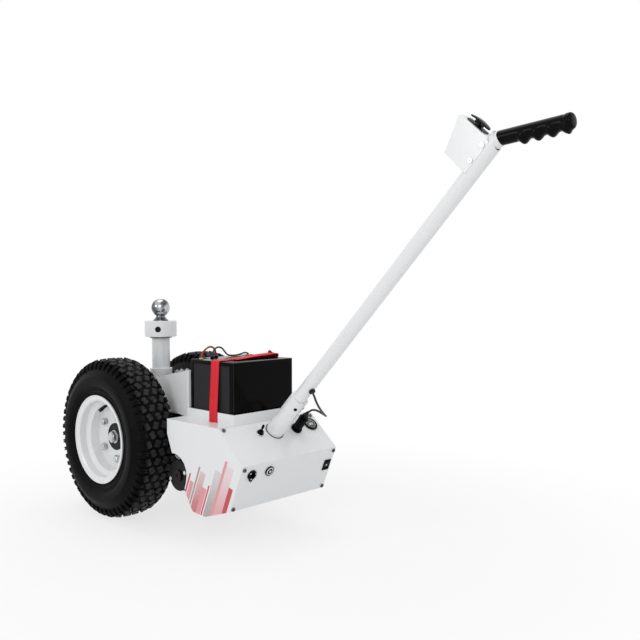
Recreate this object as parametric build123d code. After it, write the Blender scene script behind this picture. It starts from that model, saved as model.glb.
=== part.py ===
from build123d import *
import math
import os

# Electric trailer dolly: two powered wheels, a tow ball on a post, a battery and
# motor housing behind the axle, and a long handle with a thumb paddle.
# Millimetres. +X is the operator's right, +Y points to the trailer, +Z is up.
# The shapes are drawn on the housing's own base lines, where the post stands at post_y
# and the floor lies at floor_z. They are moved once, when saved, onto the floor.

# Wheels and axle
tyre_radius = 206.5
tyre_crown = [
    (0, tyre_radius), (8, tyre_radius), (20, 205.8), (34.5, 203.6), (43, 199.5), (50, 191.0),
    (57, 176.5), (60.8, 160.0),
]
tyre_carcass = [
    (0, 201.9), (12, 201.6), (24, 200.4), (33.5, 198.4), (40.5, 194.6), (46.8, 187.2),
    (51.6, 177.8), (56.4, 168.2), (60.8, 160.0), (59.4, 142.0), (54.8, 126.0), (51.2, 118.0),
    (49.6, 113.0), (49.4, 105.0), (46.5, 101.9),
]
tyre_inside = [
    (36, 101.9), (40.5, 108.0), (47, 124.0), (52, 143.0), (53.5, 160.0), (49.5, 172.0),
    (42, 184.5), (32, 191.0), (18, 194.0), (0, 195.0),
]
tread_count = 29
tread_depth = 4.6
tread_foot = tread_depth + 1.3
tread_rows = 4
tread_row_pitch = 12.3
tread_block_width = 15.0
tread_block_length = 17.0
tread_lug_width = 10.6
tread_lug_starts = (38.5, 47.0)
tread_lug_end = 60.0
tread_lug_toe = (52.6, 174.0)
wheel_offset = 141.6
hub_face = 4.4
rim_bore_radius = 35.5
rim_well_radius = 85.4
lug_circle_radius = 57.15
lug_count = 5
lug_first_angle = 142.0
axle_radius = 12.7
running_clearance = 0.05
floor_z = -9.0
axle_y = 27.2
axle_z = tyre_radius + floor_z

# Housing
housing_half_width = 149.2
sheet = 2.5
deck_z = 273.5
panel_front_y = -209.0
slope_top = (-404.0, 272.0)
ridge = (-486.8, 199.9)
cover_foot = (-442.0, 92.5)
belly_rear = (-436.0, 92.4)
belly_low = (-354.4, 64.4)
belly_front_low = (-309.2, 67.0)
belly_front = (-286.6, 98.0)

# Battery and its tray
battery_half_width = 95.3
battery_rear_y = -390.2
battery_front_y = -231.8
battery_bottom_z = 245.0
battery_top_z = 415.2
tray_half_width = 101.3
tray_rear_y = -400.5
tray_front_y = -228.3
tray_lip_z = 297.1
tray_wall = 3.0
stop_top_z = 388.0
strap_y = -320.0
strap_width = 28.0
strap_thick = 1.6

# Drive
motor_y = -243.8
motor_z = 140.0
motor_radius = 38.0
motor_left_x = -146.0
motor_face_x = -24.0
gearbox_x = -18.0
gearbox_radius = 36.0
mount_top_z = 241.9
chain_x = 50.0
chain_pitch = 12.7
axle_teeth = 27
motor_teeth = 9
output_radius = 8.0

# Neck, post and ball
post_y = axle_y
sleeve_radius = 30.15
sleeve_bore = 24.22
post_radius = 24.15
post_wall = 4.0
sleeve_bottom_z = 236.0
sleeve_top_z = 367.0
post_bottom_z = 246.0
post_top_z = 450.3
collar_bottom_z = 454.3
collar_top_z = 497.3
collar_radius = 43.1
ball_radius = 25.0
ball_z = 532.4
bracket_x = 68.0
bracket_thick = 6.0
flange_thick = 8.0
neck_floor_thick = 4.0
neck_floor_z = deck_z
bracket_top_z = neck_floor_z - neck_floor_thick

# Handle and grip
handle_base = (-432.4, 256.7)
handle_slope = 45.8
tube_radius = 15.9
tube_wall = 2.0
socket_radius = 21.2
socket_bore = 16.2
socket_length = 114.0
handle_length = 842.0
stub_radius = 11.1
grip_radius = 14.0
grip_start = (-1018.0, 856.6)
grip_length = 142.0
grip_tilt = 4.9
socket_screw_u = 94.0
cable_exit_u = 157.0

# Control box on the handle, measured along the tube and square to it
box_half_width = 17.4
box_sheet = 1.5
box_low_u = 754.0
box_top_u = 825.5
box_low_w = 64.0
box_top_w = 86.5
paddle_w = 50.0
paddle_length = 50.0
paddle_width = 17.0
paddle_lift = 6.4
paddle_pin_radius = 1.2

# Switches on the cover: X, and Y on the slope or Z on the rear face
toggle_place = (-46.0, -427.0)
toggle_pin_radius = 0.9
gauge_place = (120.0, -427.0)
gauge_radius = 16.0
charge_x = -116.0
breaker_x = -63.5
device_z = 176.5
rocker_x = 133.0
rocker_z = 156.5

# Control cable
cable_radius = 2.5
red_lead_radius = 2.3
black_lead_radius = 2.1
plug_x = 67.0
plug_y = -431.8
plug_length = 50.0

# The middle of the length goes to Y = 0 and the foot of the tyres to Z = 0
grip_end_y = grip_start[0] - grip_length * math.cos(math.radians(grip_tilt))
saved_shift_y = -(grip_end_y + axle_y + tyre_radius) / 2

handle_dir = Vector(0, -math.cos(math.radians(handle_slope)), math.sin(math.radians(handle_slope)))
handle_up = Vector(0, math.sin(math.radians(handle_slope)), math.cos(math.radians(handle_slope)))
cable_exit_way = (handle_up * -0.975 + Vector(-0.22, 0, 0)).normalized()
slope_run = math.hypot(ridge[0] - slope_top[0], ridge[1] - slope_top[1])
slope_dir = Vector(0, (ridge[0] - slope_top[0]) / slope_run, (ridge[1] - slope_top[1]) / slope_run)
slope_normal = Vector(0, slope_dir.Z, -slope_dir.Y)
rear_run = math.hypot(cover_foot[0] - ridge[0], cover_foot[1] - ridge[1])
rear_dir = Vector(0, (cover_foot[0] - ridge[0]) / rear_run, (cover_foot[1] - ridge[1]) / rear_run)
rear_normal = Vector(0, rear_dir.Z, -rear_dir.Y)

nodes = {}


def add(name, *shapes):
    solids = []
    for shape in shapes:
        solids.extend(shape.solids())
    nodes[name] = solids


def block(x0, x1, y0, y1, z0, z1):
    middle = Pos((x0 + x1) / 2, (y0 + y1) / 2, (z0 + z1) / 2)
    return middle * Box(abs(x1 - x0), abs(y1 - y0), abs(z1 - z0))


def rod(start, end, radius):
    start = Vector(start)
    end = Vector(end)
    frame = Plane(origin=start, z_dir=end - start)
    length = (end - start).length
    return frame * Cylinder(radius, length, align=(Align.CENTER, Align.CENTER, Align.MIN))


def rod_x(x0, x1, y, z, radius):
    return rod((min(x0, x1), y, z), (max(x0, x1), y, z), radius)


def ring_x(x0, x1, y, z, outer, inner):
    low = min(x0, x1)
    high = max(x0, x1)
    return rod_x(low, high, y, z, outer) - rod_x(low - 1, high + 1, y, z, inner)


def prism(start, end, radius, sides):
    start = Vector(start)
    end = Vector(end)
    frame = Plane(origin=start, z_dir=end - start)
    return extrude(frame * RegularPolygon(radius, sides), (end - start).length)


def side_plate(points, x0, x1):
    frame = Plane(origin=(min(x0, x1), 0, 0), x_dir=(0, 1, 0), z_dir=(1, 0, 0))
    return extrude(frame * Polygon(*points, align=None), abs(x1 - x0), dir=(1, 0, 0))


def flat_plate(points, z0, z1):
    return extrude(Plane(origin=(0, 0, z0)) * Polygon(*points, align=None), z1 - z0, dir=(0, 0, 1))


def spin_x(profile, x, y, z):
    face = make_face(Polyline(*profile, close=True))
    return Pos(x, y, z) * revolve(face, Axis.X)


def spin_z(profile, x, y, z):
    face = make_face(Plane.XZ * Polyline(*profile, close=True))
    return Pos(x, y, z) * revolve(face, Axis.Z)


def mirrored(shape):
    return mirror(shape, Plane.YZ)


def on_handle(along, outward, x=0.0):
    base = Vector(x, handle_base[0], handle_base[1])
    return base + handle_dir * along + handle_up * outward


def on_slope(x, y):
    share = (y - slope_top[0]) / (ridge[0] - slope_top[0])
    return Vector(x, y, slope_top[1] + share * (ridge[1] - slope_top[1]))


def on_rear(x, z):
    share = (z - ridge[1]) / (cover_foot[1] - ridge[1])
    return Vector(x, ridge[0] + share * (cover_foot[0] - ridge[0]), z)


def crown_point(along, sunk=0.0):
    """A point that far from the middle along the tread's outer face, and that far under it."""
    side = math.copysign(1, along)
    left = abs(along)
    for start, end in zip(tyre_crown, tyre_crown[1:]):
        length = math.dist(start, end)
        if left <= length:
            break
        left -= length
    way_x = (end[0] - start[0]) / length
    way_r = (end[1] - start[1]) / length
    x = start[0] + way_x * left + way_r * sunk
    return side * x, start[1] + way_r * left - way_x * sunk


def tread_outlines():
    """Blocks and lugs of one side, each with its length round the tyre and its set, 0 or 1."""
    outlines = []
    for row in range(tread_rows):
        low = row * tread_row_pitch - tread_block_width / 2
        high = low + tread_block_width
        outline = [crown_point(low), crown_point(high)]
        outline += [crown_point(high, tread_foot), crown_point(low, tread_foot)]
        outlines.append((outline, tread_block_length, row % 2))
    for late, start in enumerate(tread_lug_starts):
        step = (tread_lug_end - start) / 3
        outline = [crown_point(start + step * index) for index in range(4)]
        outline += [tread_lug_toe, crown_point(start + step, tread_foot + 1.6)]
        outline.append(crown_point(start, tread_foot))
        outlines.append((outline, tread_lug_width, late))
    return outlines


def tread_pieces():
    """Every block and lug. A block of the middle row stands on the floor."""
    pitch = 360 / tread_count
    outlines = tread_outlines()
    middle_row = outlines[0][0]
    pieces = []
    for outline, length, late in outlines:
        arc = math.degrees(length / tyre_radius)
        first = -90 - arc / 2 + late * pitch / 2
        sides = [outline]
        if outline != middle_row:
            sides.append([(-x, r) for x, r in outline])
        for side in sides:
            face = make_face(Polyline(*side, close=True))
            piece = revolve(face, Axis.X, revolution_arc=arc)
            pieces += [Rot(X=first + index * pitch) * piece for index in range(tread_count)]
    return pieces


def tyre():
    profile = tyre_carcass + tyre_inside
    profile += [(-x, r) for x, r in reversed(tyre_inside[:-1])]
    profile += [(-x, r) for x, r in reversed(tyre_carcass[1:])]
    return spin_x(profile, 0, 0, 0) + tread_pieces()


def rim(side):
    outside = [
        (-55, 113.7), (-51.5, 113.2), (-50, 110), (-50, 104), (-48, 101.6), (-31, 100.6),
        (-24, 88.0), (12, 88.0), (20, 100.6), (48, 101.6), (50, 104), (50, 110), (51.5, 113.2),
        (55, 113.7),
    ]
    inside = [
        (55, 111.0), (53.4, 110.6), (52.6, 109), (52.6, 103), (49.5, 99.0), (21.5, 98.0),
        (13.5, rim_well_radius), (-25.5, rim_well_radius), (-32.5, 98.0), (-49.5, 99.0),
        (-52.6, 103), (-52.6, 109),
        (-53.4, 110.6), (-55, 111.0),
    ]
    flip = -side
    profile = [(flip * x, r) for x, r in outside + inside]
    barrel = spin_x(profile, side * wheel_offset, axle_y, axle_z)
    disc_face = side * (wheel_offset + 2)
    disc_back = side * (wheel_offset - 2)
    disc = ring_x(disc_face, disc_back, axle_y, axle_z, rim_well_radius, rim_bore_radius)
    for place in lug_places():
        disc -= rod_x(side * (wheel_offset - 9), side * (wheel_offset + 9), place[0], place[1], 6.2)
    stem_seat = valve_line(side)
    return barrel - rod(stem_seat[0], stem_seat[1], 5.0), disc


def lug_places():
    places = []
    for index in range(lug_count):
        angle = math.radians(180 - lug_first_angle + index * 360 / lug_count)
        y = axle_y + lug_circle_radius * math.cos(angle)
        z = axle_z + lug_circle_radius * math.sin(angle)
        places.append((y, z))
    return places


def valve_line(side):
    angle = math.radians(77)
    outward = Vector(0, math.cos(angle), math.sin(angle))
    centre = Vector(side * wheel_offset, axle_y, axle_z)
    start = centre + Vector(side * 0.5, 0, 0) + outward * 93.8
    return start, centre + Vector(side * 39, 0, 0) + outward * 72.3


def wheel_hub(side):
    profile = [
        (-53, axle_radius), (-53, 21), (-40, 21), (-34, 30), (-9, 30), (-9, 70), (-2.1, 70),
        (-2.1, 35.3), (3.4, 35.3), (hub_face, 34.2), (hub_face, axle_radius),
    ]
    hub = spin_x([(side * (wheel_offset + x), r) for x, r in profile], 0, axle_y, axle_z)
    for place in lug_places():
        hub -= rod_x(side * (wheel_offset - 10), side * (wheel_offset - 1), place[0], place[1], 6.0)
    return hub


def lug_nut(side, y, z):
    mid = side * wheel_offset
    stud = rod_x(mid - side * 14, mid + side * 18, y, z, 5.95)
    head = prism((mid + side * 6.8, y, z), (mid + side * 16.3, y, z), 9.8, 6)
    cone = rod_x(mid + side * 2.1, mid + side * 6.8, y, z, 8.6)
    tail = rod_x(mid - side * 16, mid - side * 9.3, y, z, 8.0)
    return head + cone + stud + tail


def valve_stem(side):
    start, end = valve_line(side)
    way = (end - start).normalized()
    foot = rod(start + way * 6, start + way * 20, 4.9)
    stalk = rod(start + way * 19, start + way * 33, 4.2)
    cap = rod(start + way * 33, end, 4.8)
    return foot + stalk + cap


def make_wheels():
    knobbly_tyre = tyre()
    for name, side in (("left", -1), ("right", 1)):
        add("tyre_" + name, Pos(side * wheel_offset, axle_y, axle_z) * knobbly_tyre)
        add("rim_" + name, *rim(side))
    add("valve_stems", valve_stem(-1), valve_stem(1))
    add("wheel_hubs", wheel_hub(-1), wheel_hub(1))
    nuts = []
    for side in (-1, 1):
        for place in lug_places():
            nuts.append(lug_nut(side, place[0], place[1]))
    add("lug_nuts", *nuts)
    face = wheel_offset + hub_face
    tip = face + 14
    shaft = rod_x(-tip, tip, axle_y, axle_z, axle_radius)
    ends = []
    for side in (-1, 1):
        shaft -= ring_x(side * face, side * (tip + 5), axle_y, axle_z, 20, 9.95)
        washer = ring_x(side * (face + 0.1), side * (face + 2.4), axle_y, axle_z, 17, 10)
        nut = prism((side * (face + 2.4), axle_y, axle_z), (side * (face + 11.4), axle_y, axle_z), 15, 6)
        ends.append(washer + nut - rod_x(side * face, side * (tip + 5), axle_y, axle_z, 10))
    add("axle_shaft", shaft)
    add("axle_nuts", *ends)


def sprocket(teeth, x, y, z, bore, hub_radius, hub_length):
    pitch_radius = chain_pitch / 2 / math.sin(math.pi / teeth)
    plate_half = 3.3
    wheel = rod_x(x - plate_half, x + plate_half, y, z, pitch_radius + 2.6)
    for tooth in range(teeth):
        angle = 2 * math.pi * (tooth + 0.5) / teeth
        gap_y = y + (pitch_radius + 0.6) * math.cos(angle)
        gap_z = z + (pitch_radius + 0.6) * math.sin(angle)
        wheel -= rod_x(x - 5, x + 5, gap_y, gap_z, 4.2)
    wheel += rod_x(x - plate_half, x + hub_length, y, z, hub_radius)
    if bore > 0:
        wheel -= rod_x(x - 20, x + hub_length + 20, y, z, bore)
    return wheel


def chain_outline(radius_shift):
    small = chain_pitch / 2 / math.sin(math.pi / motor_teeth) + radius_shift
    large = chain_pitch / 2 / math.sin(math.pi / axle_teeth) + radius_shift
    reach = math.hypot(axle_y - motor_y, axle_z - motor_z)
    tilt = math.atan2(axle_z - motor_z, axle_y - motor_y)
    lean = math.asin((large - small) / reach)
    up = tilt + lean + math.pi / 2
    down = tilt - lean - math.pi / 2
    motor = (motor_y, motor_z)
    axle = (axle_y, axle_z)

    def spot(centre, radius, angle):
        return (centre[0] + radius * math.cos(angle), centre[1] + radius * math.sin(angle))

    start = spot(motor, small, up)
    upper = Line(start, spot(axle, large, up))
    nose = ThreePointArc(spot(axle, large, up), spot(axle, large, tilt), spot(axle, large, down))
    lower = Line(spot(axle, large, down), spot(motor, small, down))
    tail = ThreePointArc(spot(motor, small, down), spot(motor, small, tilt + math.pi), start)
    return make_face(Curve() + [upper, nose, lower, tail])


def make_chain():
    parts = []
    for x0 in (chain_x - 7.2, chain_x + 4.2):
        frame = Plane(origin=(x0, 0, 0), x_dir=(0, 1, 0), z_dir=(1, 0, 0))
        band = extrude(frame * chain_outline(5.2), 3.0, dir=(1, 0, 0))
        band -= extrude(frame * chain_outline(-5.2), 3.0, dir=(1, 0, 0))
        parts.append(band)
    loop = parts[0] + parts[1]
    tilt = math.atan2(axle_z - motor_z, axle_y - motor_y)
    reach = math.hypot(axle_y - motor_y, axle_z - motor_z)
    small = chain_pitch / 2 / math.sin(math.pi / motor_teeth)
    large = chain_pitch / 2 / math.sin(math.pi / axle_teeth)
    lean = math.asin((large - small) / reach)
    for turn in (1, -1):
        angle = tilt + turn * (lean + math.pi / 2)
        run_y = math.cos(tilt + turn * lean)
        run_z = math.sin(tilt + turn * lean)
        start_y = motor_y + small * math.cos(angle)
        start_z = motor_z + small * math.sin(angle)
        for link in range(3, 16):
            y = start_y + run_y * link * chain_pitch
            z = start_z + run_z * link * chain_pitch
            loop += rod_x(chain_x - 7.0, chain_x + 7.0, y, z, 3.9)
    add("drive_chain", loop)


def make_drive():
    add("axle_sprocket", sprocket(axle_teeth, chain_x, axle_y, axle_z, axle_radius, 24, 18))
    pinion = sprocket(motor_teeth, chain_x, motor_y, motor_z, 0, 10.5, 6)
    shaft = rod_x(30, chain_x, motor_y, motor_z, output_radius - running_clearance)
    add("motor_sprocket", pinion + shaft)
    case = rod_x(gearbox_x, 30, motor_y, motor_z, gearbox_radius)
    case += rod_x(28, 41, motor_y, motor_z, 17)
    case -= rod_x(29, 45, motor_y, motor_z, output_radius)
    add("gearbox", case)
    body = rod_x(motor_left_x + 14, motor_face_x, motor_y, motor_z, motor_radius)
    bell = rod_x(motor_left_x + 4, motor_left_x + 14, motor_y, motor_z, motor_radius - 1.2)
    boss = rod_x(motor_left_x, motor_left_x + 6, motor_y, motor_z, 14)
    seam = ring_x(motor_left_x + 15, motor_left_x + 17, motor_y, motor_z, motor_radius + 2, motor_radius - 1)
    motor = body + bell + boss - seam
    bolts = []
    for angle in (158, 338):
        y = motor_y + 30 * math.cos(math.radians(angle))
        z = motor_z + 30 * math.sin(math.radians(angle))
        hole = rod_x(motor_left_x, motor_left_x + 22, y, z, 2.6)
        motor -= hole
        head = prism((motor_left_x + 3.9, y, z), (motor_left_x + 0.5, y, z), 5.2, 6)
        bolts.append(head + rod_x(motor_left_x + 3, motor_left_x + 20, y, z, 2.5))
    motor -= rod_x(motor_left_x - 1, motor_left_x + 1.5, motor_y, motor_z, 4)
    add("motor", motor)
    outline = [
        (-330, 72), (-330, mount_top_z), (-216, mount_top_z), (-196, 176), (-196, 112), (-286, 108),
        (-300, 106), (-318, 76),
    ]
    mount = side_plate(outline, motor_face_x, gearbox_x)
    mount += block(-60, 20, -330, -327, 72, mount_top_z)
    add("motor_mount", mount)
    for side in (-1, 1):
        for y, z in bearing_bolt_places():
            bolts.append(frame_bolt(side, y, z))
    add("frame_bolts", *bolts)
    make_chain()


def bearing_bolt_places():
    places = []
    for y in (axle_y - 32, axle_y + 32):
        for z in (axle_z - 26, axle_z + 26):
            places.append((y, z))
    return places


def frame_bolt(side, y, z):
    outer = bracket_x + bracket_thick + flange_thick
    shank = rod_x(side * (bracket_x - 7), side * (outer + 6), y, z, 3.95)
    head = prism((side * outer, y, z), (side * (outer + 5), y, z), 7.5, 6)
    nut = prism((side * (bracket_x - 6), y, z), (side * bracket_x, y, z), 7.5, 6)
    return shank + head + nut


def make_bearings():
    housings = []
    rings = []
    inner = bracket_x + bracket_thick
    for side in (-1, 1):
        start = side * inner if side > 0 else -(inner + flange_thick)
        frame = Plane(origin=(start, axle_y, axle_z), x_dir=(0, 1, 0), z_dir=(1, 0, 0))
        flange = extrude(frame * RectangleRounded(84, 72, 12), flange_thick)
        boss = rod_x(side * inner, side * (inner + 12), axle_y, axle_z, 31)
        housing = flange + boss - rod_x(side * (inner - 5), side * (inner + 15), axle_y, axle_z, 24)
        for y, z in bearing_bolt_places():
            housing -= rod_x(side * (inner - 5), side * (inner + 15), y, z, 4)
        housings.append(housing)
        bore = axle_radius + running_clearance
        rings.append(ring_x(side * (inner - 4), side * (inner + 11.5), axle_y, axle_z, 24, bore))
    add("bearing_housings", *housings)
    add("axle_bearings", *rings)


def make_chassis():
    outline = [
        (-206.5, 188), (-206.5, bracket_top_z), (86, bracket_top_z), (86, 232), (76, 190), (76, 160),
        (-22, 160), (-22, 178),
    ]
    plates = []
    for side in (-1, 1):
        plate = side_plate(outline, side * bracket_x, side * (bracket_x + bracket_thick))
        plate -= rod_x(side * 60, side * 90, axle_y, axle_z, 24)
        for y, z in bearing_bolt_places():
            plate -= rod_x(side * 60, side * 90, y, z, 4)
        plates.append(plate)
    add("axle_brackets", *plates)
    half = bracket_x + bracket_thick
    floor_shape = [(-half, 86), (half, 86), (half, -160), (97, -206.5), (-97, -206.5), (-half, -160)]
    floor = flat_plate(floor_shape, bracket_top_z, neck_floor_z)
    floor -= rod((0, post_y, 200), (0, post_y, 300), sleeve_radius)
    add("neck_floor", floor)
    front = (30.5, 24.0)
    back = (tray_half_width - 1, tray_front_y)
    run = math.hypot(back[0] - front[0], back[1] - front[1])
    way = Vector((back[0] - front[0]) / run, (back[1] - front[1]) / run, 0)
    frame = Plane(origin=(front[0], front[1], 0), x_dir=way, z_dir=(way.Y, -way.X, 0))
    shape = [(-6, neck_floor_z), (-6, 342), (run + 3, stop_top_z), (run + 3, neck_floor_z)]
    right = extrude(frame * Polygon(*shape, align=None), 2, both=True)
    right -= rod((0, post_y, 200), (0, post_y, 400), sleeve_radius + 0.02)
    right -= block(0, 200, tray_front_y - 60, tray_front_y, 200, 420)
    add("neck_plates", mirrored(right), right)
    sleeve = rod((0, post_y, sleeve_bottom_z), (0, post_y, sleeve_top_z), sleeve_radius)
    sleeve -= rod((0, post_y, 200), (0, post_y, 400), sleeve_bore)
    sleeve -= rod((0, post_y, 330), (0, post_y + 40, 330), 5)
    add("post_sleeve", sleeve)


def make_mast():
    post = rod((0, post_y, post_bottom_z), (0, post_y, post_top_z), post_radius)
    post -= rod((0, post_y, 200), (0, post_y, 500), post_radius - post_wall)
    add("ball_post", post)
    washer = rod((0, post_y, post_top_z), (0, post_y, collar_bottom_z), 29.4)
    washer -= rod((0, post_y, 400), (0, post_y, 500), 20.0)
    add("post_ring", washer)
    collar = rod((0, post_y, collar_bottom_z), (0, post_y, collar_top_z), collar_radius)
    collar = fillet(collar.edges().filter_by(GeomType.CIRCLE), 1.5)
    collar += rod((0, post_y, collar_bottom_z - 30), (0, post_y, collar_bottom_z + 1), 20.0)
    collar -= rod((0, post_y, collar_bottom_z + 6), (0, post_y, 520), 9.6)
    way = Vector(-math.sqrt(0.5), -math.sqrt(0.5), 0)
    centre = Vector(0, post_y, 475.0)
    collar -= rod(centre, centre + way * 60, 6.0)
    collar -= rod(centre + way * 35, centre + way * 60, 8.0)
    add("ball_collar", collar)
    screw = rod(centre + way * 10.0, centre + way * 35.2, 5.95)
    screw += rod(centre + way * 35.0, centre + way * 41.5, 7.6)
    screw -= prism(centre + way * 37, centre + way * 45, 4.6, 6)
    add("collar_screw", screw)
    ball_profile = [
        (0, collar_bottom_z + 8), (9.55, collar_bottom_z + 8), (9.55, collar_top_z), (20.2, collar_top_z),
        (20.2, collar_top_z + 2.5), (15.2, 503.5), (12.6, 507.5), (11.8, 511), (11.8, 514), (0, 514),
    ]
    stem = spin_z(ball_profile, 0, post_y, 0)
    ball = Pos(0, post_y, ball_z) * Sphere(ball_radius)
    ball -= block(-30, 30, post_y - 30, post_y + 30, ball_z + ball_radius - 1.2, ball_z + 30)
    add("tow_ball", stem + ball)


def panel_outline():
    return [
        (panel_front_y, deck_z), (panel_front_y, 238), (-228, 193), (-244, 193.2), (-262, 186.6),
        (-276, 174.5), (-283.4, 160), (-285, 146), (-282.2, 131), (-277, 116), belly_front,
        (-298.7, 78.6), belly_front_low, belly_low, cover_foot, ridge, slope_top, (-402.0, deck_z),
    ]


def side_panel(side):
    inner = housing_half_width - sheet
    panel = side_plate(panel_outline(), side * inner, side * housing_half_width)
    for place, normal in cover_screw_places():
        if place.X * side > 0:
            start = Vector(side * (inner - 6), place.Y, place.Z) - normal * (sheet + 0.1)
            frame = Plane(origin=start, x_dir=(1, 0, 0), z_dir=-normal)
            panel += extrude(frame * Rectangle(13, 11), 2.4)
    hollow = side_plate(cover_shape(0.05), -housing_half_width - 5, housing_half_width + 5)
    return panel - hollow


def cover_shape(slack=0.0):
    outer = [Vector(0, *slope_top), Vector(0, *ridge), Vector(0, *cover_foot)]
    depth = sheet + slack
    inner_start = outer[0] - slope_normal * depth
    inner_end = outer[2] - rear_normal * depth
    half_turn = math.radians(slope_dir.get_angle(rear_dir)) / 2
    bisector = (slope_normal + rear_normal).normalized()
    inner_mid = outer[1] - bisector * (depth / math.cos(half_turn))
    lift = [outer[0] + slope_normal * slack, outer[1] + bisector * slack, outer[2] + rear_normal * slack]
    return [(p.Y, p.Z) for p in lift + [inner_end, inner_mid, inner_start]]


def cover_screw_places():
    places = []
    for side in (-1, 1):
        places.append((on_slope(side * 138.5, slope_top[0] - 4.5), slope_normal))
        places.append((on_rear(side * 142.5, 192.0), rear_normal))
        places.append((on_rear(side * 142.5, 98.5), rear_normal))
    return places


def make_housing():
    for name, side in (("left", -1), ("right", 1)):
        add("side_panel_" + name, side_panel(side))
    inner = housing_half_width - sheet - 0.05
    deck = block(-inner, inner, slope_top[0] + 1.7, panel_front_y, deck_z - sheet, deck_z)
    gap = tray_half_width + 0.1
    deck -= block(-gap, gap, tray_rear_y - 0.1, tray_front_y + 0.1, 200, 300)
    for side in (-1, 1):
        x0 = side * (tray_half_width + 0.6)
        x1 = side * (tray_half_width + 4.0)
        half = strap_width / 2 + 1.5
        deck -= block(x0, x1, strap_y - half, strap_y + half, 200, 300)
    add("deck", deck)
    front = block(-inner, inner, panel_front_y - sheet, panel_front_y - 0.2, 240, deck_z - sheet)
    add("front_wall", front)
    pan_points = [
        (belly_front[0] - 3, belly_front[1] + 2), (belly_front_low[0] - 1.5, belly_front_low[1] + 2.6),
        (belly_low[0], belly_low[1] + 1.6), (belly_rear[0], belly_rear[1] + 1.6),
        (belly_rear[0], belly_rear[1] + 4.1), (belly_low[0], belly_low[1] + 4.1),
        (belly_front_low[0] - 2.7, belly_front_low[1] + 5.1), (belly_front[0] - 5.4, belly_front[1] + 3.6),
    ]
    add("belly_pan", side_plate(pan_points, -inner, inner))
    cover = side_plate(cover_shape(), -housing_half_width, housing_half_width)
    for place, normal, radius in cover_holes():
        cover -= rod(place - normal * 8, place + normal * 8, radius)
    centre = on_rear(rocker_x, rocker_z)
    cover -= rocker_block(centre, 19.4, 26.4, -8, 4)
    socket_axis = rod(on_handle(-40, 0), on_handle(60, 0), socket_radius + 0.15)
    cover -= socket_axis
    add("rear_cover", cover)
    screws = []
    for place, normal in cover_screw_places():
        head = rod(place + normal * 0.05, place + normal * 2.9, 4.6)
        head -= prism(place + normal * 1.4, place + normal * 4, 2.1, 6)
        screws.append(head + rod(place - normal * 9, place + normal * 0.2, 2.4))
    add("cover_screws", *screws)
    for name in ("side_panel_left", "side_panel_right"):
        panel = Part() + nodes[name]
        for place, normal in cover_screw_places():
            panel -= rod(place - normal * 12, place + normal * 2, 2.5)
        add(name, panel)


def cover_holes():
    holes = []
    for place, normal in cover_screw_places():
        holes.append((place, normal, 2.6))
    holes.append((on_rear(charge_x, device_z), rear_normal, 9.6))
    holes.append((on_rear(breaker_x, device_z), rear_normal, 9.1))
    holes.append((on_slope(*toggle_place), slope_normal, 6.1))
    holes.append((on_slope(*gauge_place), slope_normal, gauge_radius + 0.1))
    holes.append((on_slope(plug_x, plug_y), slope_normal, 10.1))
    return holes


def rocker_block(centre, width, height, low, high):
    frame = Plane(origin=centre + rear_normal * low, x_dir=(1, 0, 0), z_dir=rear_normal)
    return extrude(frame * Rectangle(width, height), high - low)


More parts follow.
